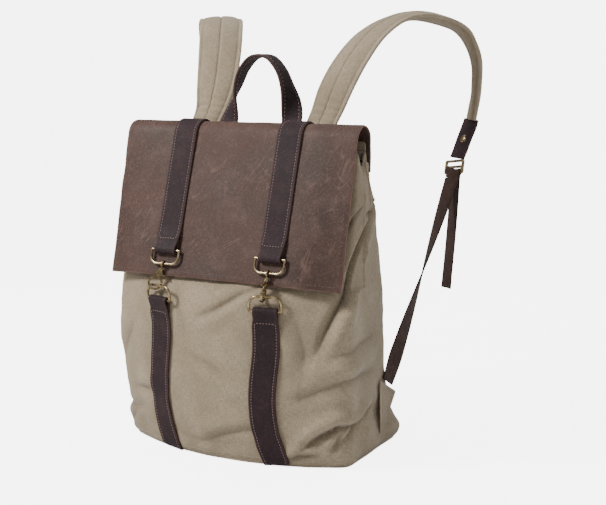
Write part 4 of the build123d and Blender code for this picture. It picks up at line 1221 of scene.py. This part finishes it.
# ------------------------------------------------------------------ webbing
WEB_WIDTH, WEB_THICK = 25.0, 1.8
WEB_TOP, WEB_FREE, WEB_END = np.array([(170.4, 191.5, 310), (152.0, 62.1, 105.2), (149.5, 44.5, 77)])
for side, sign in SIDES:
    rows = [(*WEB_END, 84), (*((WEB_END + WEB_FREE) / 2), 79)]
    for t in np.linspace(0, 1, 14):
        slack = np.array([0.6, -1.0, -1.4]) * np.sin(np.pi * t)
        turn = 76 + 74 * (0.45 * t + 0.55 * (3 * t**2 - 2 * t**3))
        rows.append((*(WEB_FREE + (WEB_TOP - WEB_FREE) * t + slack), turn))
    rows = [(sign * x, y, z, sign * turn, WEB_WIDTH, WEB_THICK) for x, y, z, turn in rows]
    web, grid = sweep(f"webbing_strip_{side}", rows, 21, [WEBBING], wear=0.2, samples=260)
    web_bend = ("bag", f"shoulder_{side}", (sign * 150.6, 52, 89), (sign * 153.6, 74, 124))
    finish_piece(web, "webbing", web_bend, f"webbing_{side}", f"webbing_root_{side}")

    # Round the buckle's bar
    loop_rows = [
        (170.4, 191.5, 309.5, 152), (170.5, 192.3, 314, 150), (170.7, 194.4, 318.2, 147), (171.0, 197.2, 318.8, 143),
        (171.1, 199.8, 315.5, 139), (171, 200.8, 311, 137),
    ]
    rows = [(sign * x, y, z, sign * turn, WEB_WIDTH, WEB_THICK) for x, y, z, turn in loop_rows]
    loop, _ = sweep(f"webbing_loop_{side}", rows, 21, [WEBBING], samples=60)
    finish_piece(loop, "webbing", f"shoulder_{side}")

    # Free tail, hemmed at its end
    tail_rows = []
    for t in np.linspace(0, 1, 10):
        x, y, z = np.array([171, 200.8, 312]) * (1 - t) + np.array([166, 188, 168]) * t
        tail_rows.append((sign * x, y + 2.5 * np.sin(np.pi * t), z, sign * -43, WEB_WIDTH, WEB_THICK))
    tail, grid = sweep(f"webbing_tail_strip_{side}", tail_rows, 21, [WEBBING], wear=0.2, samples=150)
    finish_piece(tail, "webbing", f"shoulder_{side}", f"webbing_tail_{side}")
    hem_rows = [
        (sign * x, y + 1.7, z, sign * -43, WEB_WIDTH - 0.6, 1.7)
        for x, y, z in ((166.5, 189.4, 182), (166.25, 188.7, 175), (166, 188, 167.6))
    ]
    hem, hem_grid = sweep(f"webbing_tail_hem_{side}", hem_rows, 21, [WEBBING], wear=0.2, samples=30)
    finish_piece(hem, "webbing", f"shoulder_{side}")
    runs = [cross_run(hem_grid, at) for at in (0.2, 0.8)]
    runs += [cross_run(grid, at, face) for at in (0.92, 0.975) for face in (-1, 1)]
    across_web = {"pitch": 3.0, "length": 2.0, "radius": 0.32}
    sew(f"webbing_stitches_{side}", runs, "webbing", f"shoulder_{side}", THREAD_DARK, **across_web)

# ------------------------------------------------------------------ pale studio sweep
sweep_rows = [(y, 0.0) for y in (-2.6, -1.5, -0.6, 0.3, 1.2)]
sweep_rows += [(1.2 + 0.9 * np.sin(a), 0.9 - 0.9 * np.cos(a)) for a in np.linspace(0.12, np.pi / 2, 14)]
sweep_rows += [(2.1, 1.6), (2.1, 3.4)]
floor_points = [(x, y, z) for y, z in sweep_rows for x in (-4.0, 0.0, 4.0)]
floor = make_object("floor", floor_points, grid_faces(len(sweep_rows), 3), [PAPER])
